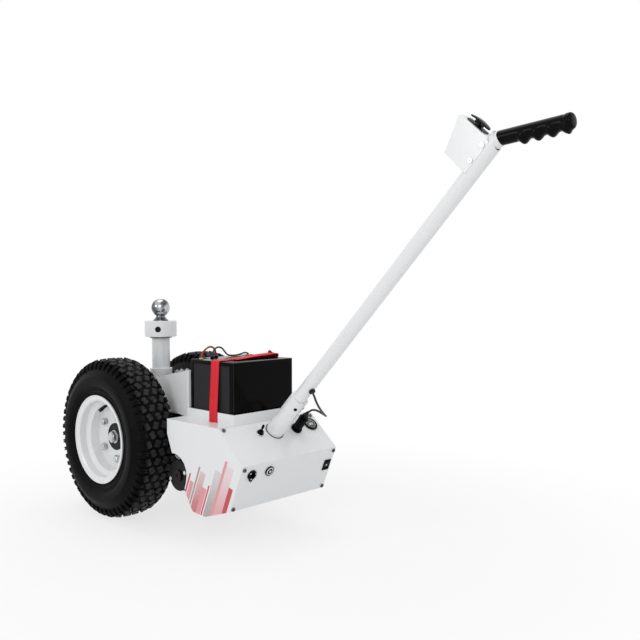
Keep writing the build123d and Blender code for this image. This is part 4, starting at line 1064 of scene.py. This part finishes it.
STRAP_PATH = (
    (-102.6, -327.0, 264.0), (-102.4, -327.0, 305.0), (-100.2, -327.6, 345.0), (-97.9, -328.2, 392.0),
    (-96.9, -328.5, 415.4), (-94.6, -328.5, 417.4),
    (-50.0, -327.0, 416.9), (0.0, -325.0, 416.6), (60.0, -323.0, 416.9), (94.6, -322.0, 417.4),
    (96.9, -322.0, 415.4), (98.2, -321.4, 385.0), (100.6, -320.8, 345.0), (102.6, -320.5, 305.0),
    (102.6, -320.5, 264.0),
)
TAIL_PATH = (
    (-30.0, -326.0, 418.5), (10.0, -328.0, 419.0), (45.0, -327.0, 419.4), (72.0, -325.0, 419.0),
    (86.0, -325.0, 419.3), (91.0, -326.0, 421.2), (89.6, -328.0, 423.6), (78.0, -331.0, 424.2),
    (44.0, -335.0, 423.6), (6.0, -338.0, 421.8), (-24.0, -340.0, 420.0), (-52.0, -341.0, 418.4),
)


def build_strap(sizes):
    strap, length = ribbon("red_battery_strap", STRAP_PATH, sizes)
    mount(strap, "chassis", "red_strap", "battery_strap")
    tail, tail_length = ribbon("red_strap_tail", TAIL_PATH, sizes)
    mount(tail, "chassis", "red_strap", "battery_strap")


# ---- cords

# The routes are the CAD tubes' own points, in metres.
HANDLE_CABLE = (
    (-0.00286, -0.08806, 0.36941), (-0.00638, -0.09925, 0.35853), (0.0, -0.10011, 0.343),
    (0.013, -0.09711, 0.328), (0.032, -0.09011, 0.314), (0.053, -0.07911, 0.303),
    (0.073, -0.06211, 0.298), (0.078, -0.04211, 0.303), (0.071, -0.02511, 0.3105),
    (0.067, -0.00897, 0.3028), (0.067, 0.00318, 0.28884),
)
RED_LEAD = (
    (-0.0753, 0.21409, 0.4274), (-0.0733, 0.21409, 0.4364), (-0.0633, 0.21309, 0.4474),
    (-0.0493, 0.21309, 0.4534), (-0.0353, 0.21509, 0.4484), (-0.0283, 0.21709, 0.4374),
    (-0.0273, 0.21709, 0.426),
)
BLACK_LEAD = (
    (0.0753, 0.21409, 0.4274), (0.0683, 0.21359, 0.431), (0.0583, 0.21259, 0.4308),
    (0.0473, 0.21209, 0.428), (0.0353, 0.21159, 0.4266), (0.0133, 0.21009, 0.4266),
    (0.0003, 0.20909, 0.4304), (-0.0077, 0.20909, 0.4399), (-0.0157, 0.20909, 0.4479),
    (-0.0262, 0.20909, 0.451), (-0.0367, 0.20909, 0.4478), (-0.0437, 0.20909, 0.4389),
    (-0.0457, 0.20909, 0.4304), (-0.0457, 0.20909, 0.426),
)


def cord_curve(name, points, diameter, finish):
    """A smooth round cord on its route's points."""
    curve = bpy.data.curves.new(name, "CURVE")
    curve.dimensions = "3D"
    spline = curve.splines.new("NURBS")
    spline.points.add(len(points) - 1)
    for point, place in zip(spline.points, points):
        point.co = (*place, 1.0)
    spline.order_u = 3
    spline.use_endpoint_u = True
    spline.resolution_u = 14
    curve.bevel_depth = diameter / 2
    curve.bevel_resolution = 5
    curve.use_fill_caps = True
    wear(curve, finish)
    return add_object(name, curve)


def build_cable(sizes):
    cable = cord_curve("control_cable", HANDLE_CABLE, sizes.cable_diameter, "cable_sleeve")
    mount(cable, "chassis", "rubber", "handle_cable")


def build_leads(sizes):
    red = cord_curve("red_lead", RED_LEAD, sizes.red_lead_diameter, "lead_sleeve")
    mount(red, "chassis", "lead_red", "battery_leads")
    black = cord_curve("black_lead", BLACK_LEAD, sizes.black_lead_diameter, "cable_sleeve")
    mount(black, "chassis", "rubber", "battery_leads")


# ---- grip and paddle

GRIP_RADIUS = 13.9
GRIP_GROOVE = 14.5
GRIP_FLANGE = 13.0
GRIP_ROUNDING = 6.0
RIDGE_HEIGHT = 6.8
ELBOW_RADIUS = 15.9


def grip_radius(along):
    """The grip's plain radius: a chamfered start, a groove, and a flange with a rounded end."""
    rest = GRIP_LENGTH - along
    radius = GRIP_RADIUS - max(0.0, 2.0 - along) * 0.7
    if abs(rest - GRIP_GROOVE) < 1.6:
        radius -= 0.5
    radius += 0.9 * min(1.0, max(0.0, GRIP_FLANGE - rest) / 2.0)
    share = max(0.0, GRIP_ROUNDING - rest) / GRIP_ROUNDING
    return radius - GRIP_ROUNDING * (1.0 - math.sqrt(max(0.0, 1.0 - share * share)))


def finger_ridge(along):
    """How far the four finger ridges stand out on the grip's under side, fading before the flange."""
    first, pitch = GRIP_RIDGES
    near = min(abs(along - first - index * pitch) for index in range(4)) / (pitch / 2)
    swell = (0.5 + 0.5 * math.cos(math.pi * min(1.0, near))) ** 1.4
    return (RIDGE_HEIGHT * swell - 0.2) * min(1.0, max(0.0, GRIP_LENGTH - 4.0 - along) / 6.0)


def build_grip():
    """Rubber grip with four finger ridges and a flanged end, and the white elbow that it sits on."""
    start = Vector((0.0, *GRIP_START))
    stations = [0.0, 0.6, 2.0]
    stations += [2.0 + (GRIP_LENGTH - 16.0) * step / 126 for step in range(1, 127)]
    stations += [GRIP_LENGTH - rest for rest in (*range(12, 1, -1), 1.2, 0.5, 0.1)]
    rings = []
    for along in stations:
        ring = []
        for angle in turns(40):
            down = math.cos(angle)
            out = GRIP_DOWN * down + X * math.sin(angle)
            reach = grip_radius(along) + max(0.0, down) ** 1.3 * finger_ridge(along)
            ring.append(spot(*(start + GRIP_DIR * along + out * reach)))
        rings.append(ring)
    mount(Sketch(rings).done("rubber_grip", "glossy_plastic", 60.0), "chassis", "gloss_black", "handle_grip")
    profile = [(-ELBOW_RADIUS * math.cos(a), ELBOW_RADIUS * math.sin(a)) for a in turns(64)[:33]]
    elbow = spot(0.0, -1013.5, 854.0)
    turned("tube_elbow", "white_coat", "chassis", "white", profile, elbow, GRIP_DIR, 64, angle=60.0)


def paddle_frame():
    """The middle of the control box's slanted face, its way along and its way out."""
    low, high = on_handle(829.0, 11.0), on_handle(825.5, 84.5)
    middle = low + (high - low) * (39.0 / 73.5)
    way = (high - low).normalized()
    return middle, way, Vector((0.0, -way.z, way.y))


def build_paddle():
    """Thumb paddle: a bowed cap with rounded ends on a short stem."""
    middle, way, out = paddle_frame()
    half_length, half_width, steps = 25.0, 8.5, 24
    rings = []
    for step in range(steps + 1):
        share = 2.0 * step / steps - 1.0
        top = 13.2 - 3.4 * share * share
        thick = 3.4 - 1.2 * abs(share) ** 3
        corner = max(0.0, abs(share) - 0.72) / 0.28
        wide = half_width * math.sqrt(max(0.04, 1.0 - corner ** 2))
        right = [
            (wide * 0.5, 0.0), (wide - 0.9, -0.15), (wide, -0.9), (wide, 0.9 - thick),
            (wide - 0.8, -thick),
        ]
        section = right + [(-across, height) for across, height in reversed(right)]
        centre = middle + way * (share * half_length)
        rings.append([spot(*(centre + X * across + out * (top + height))) for across, height in section])
    sketch = Sketch(rings)
    sketch.slab(plate(-4.3, -9.6, 4.3, 9.6), spot(*middle), X, way, out, 3.5, 10.4, 0.5)
    mount(sketch.done("thumb_paddle", "glossy_plastic", 40.0), "paddle", "black_plastic", "speed_paddle")


# ---- gauge

MARK_LOW, MARK_HIGH = 2.7, 2.95
MARK_FIRST = math.radians(120.0)


def build_gauge():
    """Dial with plain marks round it, three blocks in its middle and a glass."""
    place = spot(*on_slope(120.0, -427.0))
    up = -SLOPE_DIR
    profile = [(2.62, 0), (2.62, 14.9), (2.75, 14.9), (2.75, 0)]
    turned("gauge_face", "grained_plastic", "chassis", "gloss_black", profile, place, SLOPE_OUT, 64)
    ring = round_pattern()
    marks = Sketch()
    for length, wide, count, step in ((2.0, 0.5, 21, 12.0), (3.6, 1.1, 6, 48.0)):
        tick = Sketch()
        outline = plate(-wide / 2, 13.6 - length, wide / 2, 13.6)
        tick.slab(outline, Vector(), X, up, SLOPE_OUT, MARK_LOW, MARK_HIGH)
        shape, step = tick.mesh_only("tick"), math.radians(-step)
        marks.take(round_copies(ring, shape, count, step, MARK_FIRST, SLOPE_OUT, place, "dial_white"))
    for left in (-6.2, -2.0, 2.2):
        marks.slab(plate(left, -4.6, left + 3.4, 1.8), place, X, up, SLOPE_OUT, MARK_LOW, MARK_HIGH)
    mount(marks.done("gauge_marks", "dial_white"), "chassis", "steel")
    profile = [(3.3, 0), (3.3, 15.1), (3.6, 15.1), (4.1, 12.0), (4.4, 7.0), (4.5, 0)]
    turned("gauge_glass", "clear_glass", "chassis", "gloss_black", profile, place, SLOPE_OUT, 64)


# ---- plug, sockets and switches


def build_plug_trim():
    """Grip ribs round the cable's plug and the tapered sleeve that the cable leaves by."""
    foot = spot(*on_slope(67.0, -431.8))
    rib = Sketch()
    outline = [(-0.75, 10.3), (0.75, 10.3), (0.45, 11.15), (-0.45, 11.15)]
    rib.slab(outline, Vector(), X, SLOPE_OUT.cross(X), SLOPE_OUT, 9.0, 30.0)
    ribs = Sketch()
    ring, shape, step = round_pattern(), rib.mesh_only("rib"), math.radians(15.0)
    ribs.take(round_copies(ring, shape, 24, step, 0.0, SLOPE_OUT, foot, "grained_plastic"))
    mount(ribs.done("plug_grip_ribs", "grained_plastic"), "chassis", "gloss_black")
    profile = [
        (46.0, 2.55), (46.0, 6.6), (50.6, 6.2), (51.4, 5.0), (56.0, 4.2), (60.0, 3.4), (60.4, 2.9),
        (60.4, 2.55),
    ]
    turned("plug_cable_sleeve", "trim_rubber", "chassis", "rubber", profile, foot, SLOPE_OUT, 32)


def three_round(name, slot, place, radius, first, profile, steps):
    """Three small turned heads on a circle on the rear cover."""
    heads = Sketch()
    for degrees in (first, first + 120, first + 240):
        a = math.radians(degrees)
        head = place + (X * math.cos(a) - REAR_DIR * math.sin(a)) * radius * MM
        heads.lathe(profile, head, REAR_OUT, steps)
    mount(heads.done(name, "bright_steel"), "chassis", slot)


def build_socket_trim():
    """Threaded ring of the charging socket with its cap's hinge, its screws and its contacts."""
    place = spot(*on_rear(-116.0, 176.5))
    ring = Sketch()
    profile = [(0.6, 7.62), (3.9, 7.62), (3.9, 9.0), (3.7, 9.5), (3.5, 10.0), (3.3, 10.2), (0.6, 10.2)]
    ring.lathe(profile, place, REAR_OUT, 48)
    hinge = place + REAR_DIR * 12.5 * MM
    ring.lathe([(2.6, 0), (2.6, 2.3), (3.5, 2.3), (3.9, 1.7), (4.0, 0)], hinge, REAR_OUT, 24)
    mount(ring.done("charge_socket_ring", "glossy_plastic"), "chassis", "black_plastic")
    screw = [(2.6, 0), (2.6, 1.9), (4.0, 1.9), (4.5, 1.2), (4.6, 0)]
    three_round("charge_socket_screws", "steel", place, 9.4, 20, screw, 20)
    pin = [(-9.4, 0), (-9.4, 1.5), (-4.2, 1.5), (-3.6, 0.9), (-3.6, 0)]
    three_round("charge_socket_contacts", "brass", place, 3.6, 90, pin, 16)


def build_breaker_trim():
    """Bright ring round the breaker's button, and the black button with its bright middle."""
    place = spot(*on_rear(-63.5, 176.5))
    ring = [(3.1, 7.2), (3.7, 7.2), (3.9, 8.0), (3.7, 9.3), (3.1, 9.7)]
    cap = [(-6.0, 0), (-6.0, 6.5), (3.2, 6.5), (3.9, 6.1), (4.1, 5.4), (4.1, 0)]
    middle = [(3.9, 0), (3.9, 3.1), (4.3, 3.1), (4.4, 2.7), (4.4, 0)]
    node = "breaker_button"
    turned("breaker_ring", "bright_steel", "chassis", "steel", ring, place, REAR_OUT, 48)
    turned("breaker_cap", "glossy_plastic", "breaker", "black_plastic", cap, place, REAR_OUT, 48, node)
    turned("breaker_middle", "bright_steel", "breaker", "steel", middle, place, REAR_OUT, 32, node)


def build_socket_foot_shade():
    """Dark ring round the handle socket's foot, where it meets the slope: a painted shadow for the gap there.
    """
    # Painted shadow: the ring is dark rubber where the socket's foot meets the slope.
    inner, outer, high, low = 21.9, 23.6, 0.9, 0.02
    rings = []
    for angle in turns(72):
        ring = []
        for reach, height in ((inner, low), (inner, high), (outer - 0.4, high), (outer, low)):
            start = on_handle(0.0, 0.0) + (X * math.cos(angle) + HANDLE_UP * math.sin(angle)) * reach
            gap = height - (start - SLOPE_TOP).dot(SLOPE_OUT)
            ring.append(spot(*(start + HANDLE_DIR * (gap / HANDLE_DIR.dot(SLOPE_OUT)))))
        rings.append(ring)
    mount(Sketch(rings, looped=True).done("socket_gasket", "trim_rubber"), "chassis", "rubber")


def build_toggle_washer():
    """Bright washer under the toggle's nut."""
    profile = [(0.05, 8.4), (2.7, 8.4), (2.7, 9.3), (2.3, 9.7), (0.05, 9.9)]
    place = spot(*on_slope(-46.0, -427.0))
    turned("toggle_washer", "bright_steel", "chassis", "steel", profile, place, SLOPE_OUT, 48)


def build_rocker_mark():
    """White dot on the power rocker's face, which leans with it."""
    out = Matrix.Rotation(ROCKER_LEAN, 3, "X") @ REAR_OUT
    face = on_rear(133.0, 156.5) - REAR_OUT * 3.5 + out * 5.1
    profile = [(-0.3, 0), (-0.3, 2.1), (0.12, 2.1), (0.2, 1.9), (0.2, 0)]
    turned("rocker_dot", "dial_white", "rocker", "white", profile, spot(*face), out, 32)


# ---- stage

FLOOR_REACH = 14.0
FLOOR_DROP = 0.0006
FLOOR_LIT = 0.72
WORLD_STRENGTH = 0.66
AIM = Vector((0.0, 0.1, 0.35))
# Area lights: name, place, size in metres and power in watts.
LIGHTS = (
    ("key_light", (-2.6, -1.9, 1.9), (1.8, 1.8), 22.0),
    ("side_light", (-2.8, 0.9, 1.5), (0.7, 0.7), 9.0),
    ("fill_light", (1.2, -3.0, 1.3), (2.0, 1.4), 1.5),
    ("top_light", (0.2, 0.6, 3.1), (2.2, 2.2), 18.0),
)
CAMERA_PLACE = (-1.24127, -1.29093, 0.60241)
CAMERA_TURN = (math.radians(87.45), 0.0, math.radians(-46.47))
CAMERA_LENS = 43.71
CAMERA_SENSOR = 36.0


def floor_finish():
    """Pale floor that keeps the shadow near the dolly and fades to plain white far from it."""
    finish = Finish("studio_floor", roughness=0.85)
    output = finish.tree.nodes["Material Output"]
    east, north, _ = finish.parts(finish.place())
    far = (east * east + (north - AIM.y) * (north - AIM.y)).root()
    finish.set(base_color=finish.mix((0.86, 0.86, 0.86), (0.88, 0.88, 0.88), finish.noise(40.0, 3.0)))
    seen, shiny, through = (
        finish.node("ShaderNodeLightPath", output="Is %s Ray" % kind)
        for kind in ("Camera", "Glossy", "Transmission")
    )
    share = seen.most(shiny).most(through) * (far.rise(0.4, 1.3) * (1.0 - FLOOR_LIT) + FLOOR_LIT)
    glow = finish.node("ShaderNodeEmission", None, {"Color": (1.0, 1.0, 1.0), "Strength": 1.0})
    both = finish.node("ShaderNodeMixShader", None, {0: share, 1: finish.shader.outputs[0], 2: glow})
    feed(finish.tree, output.inputs["Surface"], both)
    return finish.material


def build_floor():
    mesh = bpy.data.meshes.new("studio_floor")
    corners = [(x, y, -FLOOR_DROP) for x, y in plate(-FLOOR_REACH, -FLOOR_REACH, FLOOR_REACH, FLOOR_REACH)]
    mesh.from_pydata(corners, [], [(0, 1, 2, 3)])
    mesh.materials.append(floor_finish())
    add_object("studio_floor", mesh)


def build_world():
    """A white studio that is dimmer to the surfaces it lights than to the camera and reflections."""
    world = bpy.data.worlds.new("studio")
    bpy.context.scene.world = world
    world.use_nodes = True
    tree = world.node_tree
    background = tree.nodes["Background"].inputs
    feed(tree, background["Color"], (1.0, 1.0, 1.0))
    path = add_node(tree, "ShaderNodeLightPath")
    seen = path["Is Camera Ray"]
    for name in ("Is Glossy Ray", "Is Transmission Ray"):
        seen = add_node(tree, "ShaderNodeMath", {"operation": "MAXIMUM"}, {0: seen, 1: path[name]})[0]
    inputs = {"Value": seen, "To Min": WORLD_STRENGTH, "To Max": 1.0}
    feed(tree, background["Strength"], add_node(tree, "ShaderNodeMapRange", None, inputs)[0])


def build_lights():
    for name, place, size, power in LIGHTS:
        lamp = bpy.data.lights.new(name, "AREA")
        lamp.shape = "RECTANGLE"
        lamp.size, lamp.size_y = size
        lamp.energy = power
        light = add_object(name, lamp)
        light.location = place
        light.rotation_euler = (AIM - Vector(place)).to_track_quat("-Z", "Y").to_euler()


def build_camera():
    camera = bpy.data.cameras.new("photo_camera")
    camera.sensor_width = CAMERA_SENSOR
    camera.lens = CAMERA_LENS
    holder = add_object("photo_camera", camera)
    holder.location = CAMERA_PLACE
    holder.rotation_euler = CAMERA_TURN
    bpy.context.scene.camera = holder


def build_stage():
    bpy.context.scene.view_settings.view_transform = "Standard"
    build_floor()
    build_world()
    build_lights()
    build_camera()


# ---- operators and panel


class DOLLY_OT_stage(bpy.types.Operator):
    """Floor, lights and the camera at the photograph's angle"""

    bl_idname = "dolly.stage"
    bl_label = "Stage"

    def execute(self, context):
        build_stage()
        return {"FINISHED"}


class DOLLY_OT_finishes(bpy.types.Operator):
    """Makes every finish and puts it on the frame's nodes"""

    bl_idname = "dolly.finishes"
    bl_label = "Finishes"

    def execute(self, context):
        build_finishes(context.scene.dolly_colours)
        return {"FINISHED"}


class DOLLY_OT_tyres(bpy.types.Operator):
    """Both knobbly tyres with their tread blocks and shoulder lugs"""

    bl_idname = "dolly.tyres"
    bl_label = "Tyres"

    def execute(self, context):
        build_tyres(context.scene.dolly_sizes)
        return {"FINISHED"}


class DOLLY_OT_lug_nuts(bpy.types.Operator):
    """Coned nuts that hold the wheels on their hubs"""

    bl_idname = "dolly.lug_nuts"
    bl_label = "Lug nuts"

    def execute(self, context):
        build_lug_nuts()
        return {"FINISHED"}


class DOLLY_OT_chain(bpy.types.Operator):
    """Roller chain round both sprockets"""

    bl_idname = "dolly.chain"
    bl_label = "Drive chain"

    def execute(self, context):
        build_chain(context.scene.dolly_sizes)
        return {"FINISHED"}


class DOLLY_OT_tow_ball(bpy.types.Operator):
    """Polished tow ball"""

    bl_idname = "dolly.tow_ball"
    bl_label = "Tow ball"

    def execute(self, context):
        build_tow_ball()
        return {"FINISHED"}


class DOLLY_OT_battery(bpy.types.Operator):
    """Battery case and lead glands"""

    bl_idname = "dolly.battery"
    bl_label = "Battery"

    def execute(self, context):
        build_battery(context.scene.dolly_sizes)
        return {"FINISHED"}


class DOLLY_OT_strap(bpy.types.Operator):
    """Webbing strap over the battery and its loose tail"""

    bl_idname = "dolly.strap"
    bl_label = "Battery strap"

    def execute(self, context):
        build_strap(context.scene.dolly_sizes)
        return {"FINISHED"}


class DOLLY_OT_cords(bpy.types.Operator):
    """Control cable and battery leads"""

    bl_idname = "dolly.cords"
    bl_label = "Cords"

    def execute(self, context):
        build_cable(context.scene.dolly_sizes)
        build_leads(context.scene.dolly_sizes)
        return {"FINISHED"}


class DOLLY_OT_grip(bpy.types.Operator):
    """Hand grip with finger ridges, and the tube's elbow"""

    bl_idname = "dolly.grip"
    bl_label = "Grip"

    def execute(self, context):
        build_grip()
        return {"FINISHED"}


class DOLLY_OT_paddle(bpy.types.Operator):
    """Thumb paddle on the control box"""

    bl_idname = "dolly.paddle"
    bl_label = "Speed paddle"

    def execute(self, context):
        build_paddle()
        return {"FINISHED"}


class DOLLY_OT_gauge(bpy.types.Operator):
    """Face, marks and glass of the battery gauge"""

    bl_idname = "dolly.gauge"
    bl_label = "Battery gauge"

    def execute(self, context):
        build_gauge()
        return {"FINISHED"}


class DOLLY_OT_trim(bpy.types.Operator):
    """Small trim of the plug, the sockets and the switches"""

    bl_idname = "dolly.trim"
    bl_label = "Plug, socket and switch trim"

    def execute(self, context):
        build_plug_trim()
        build_socket_trim()
        build_breaker_trim()
        build_socket_foot_shade()
        build_toggle_washer()
        build_rocker_mark()
        return {"FINISHED"}


OPERATORS = (
    DOLLY_OT_stage, DOLLY_OT_finishes, DOLLY_OT_tyres, DOLLY_OT_lug_nuts, DOLLY_OT_chain,
    DOLLY_OT_tow_ball, DOLLY_OT_battery, DOLLY_OT_strap, DOLLY_OT_cords, DOLLY_OT_grip,
    DOLLY_OT_paddle, DOLLY_OT_gauge, DOLLY_OT_trim,
)


class DOLLY_PT_panel(bpy.types.Panel):
    """Sidebar panel with the sizes, the colours and every piece"""

    bl_idname = "DOLLY_PT_panel"
    bl_label = "Trailer dolly"
    bl_space_type = "VIEW_3D"
    bl_region_type = "UI"
    bl_category = "Dolly"

    def draw(self, context):
        layout = self.layout
        for group in (context.scene.dolly_sizes, context.scene.dolly_colours):
            for name in group.__annotations__:
                layout.prop(group, name)
        for operator in OPERATORS:
            layout.operator(operator.bl_idname)


CLASSES = (DollySizes, DollyColours, *OPERATORS, DOLLY_PT_panel)


def register():
    for member in CLASSES:
        bpy.utils.register_class(member)
    bpy.types.Scene.dolly_sizes = bpy.props.PointerProperty(type=DollySizes)
    bpy.types.Scene.dolly_colours = bpy.props.PointerProperty(type=DollyColours)


def unregister():
    del bpy.types.Scene.dolly_colours
    del bpy.types.Scene.dolly_sizes
    for member in reversed(CLASSES):
        bpy.utils.unregister_class(member)


def main():
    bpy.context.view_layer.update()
    register()
    for operator in OPERATORS:
        group, name = operator.bl_idname.split(".")
        getattr(getattr(bpy.ops, group), name)()


if __name__ == "__main__":
    main()
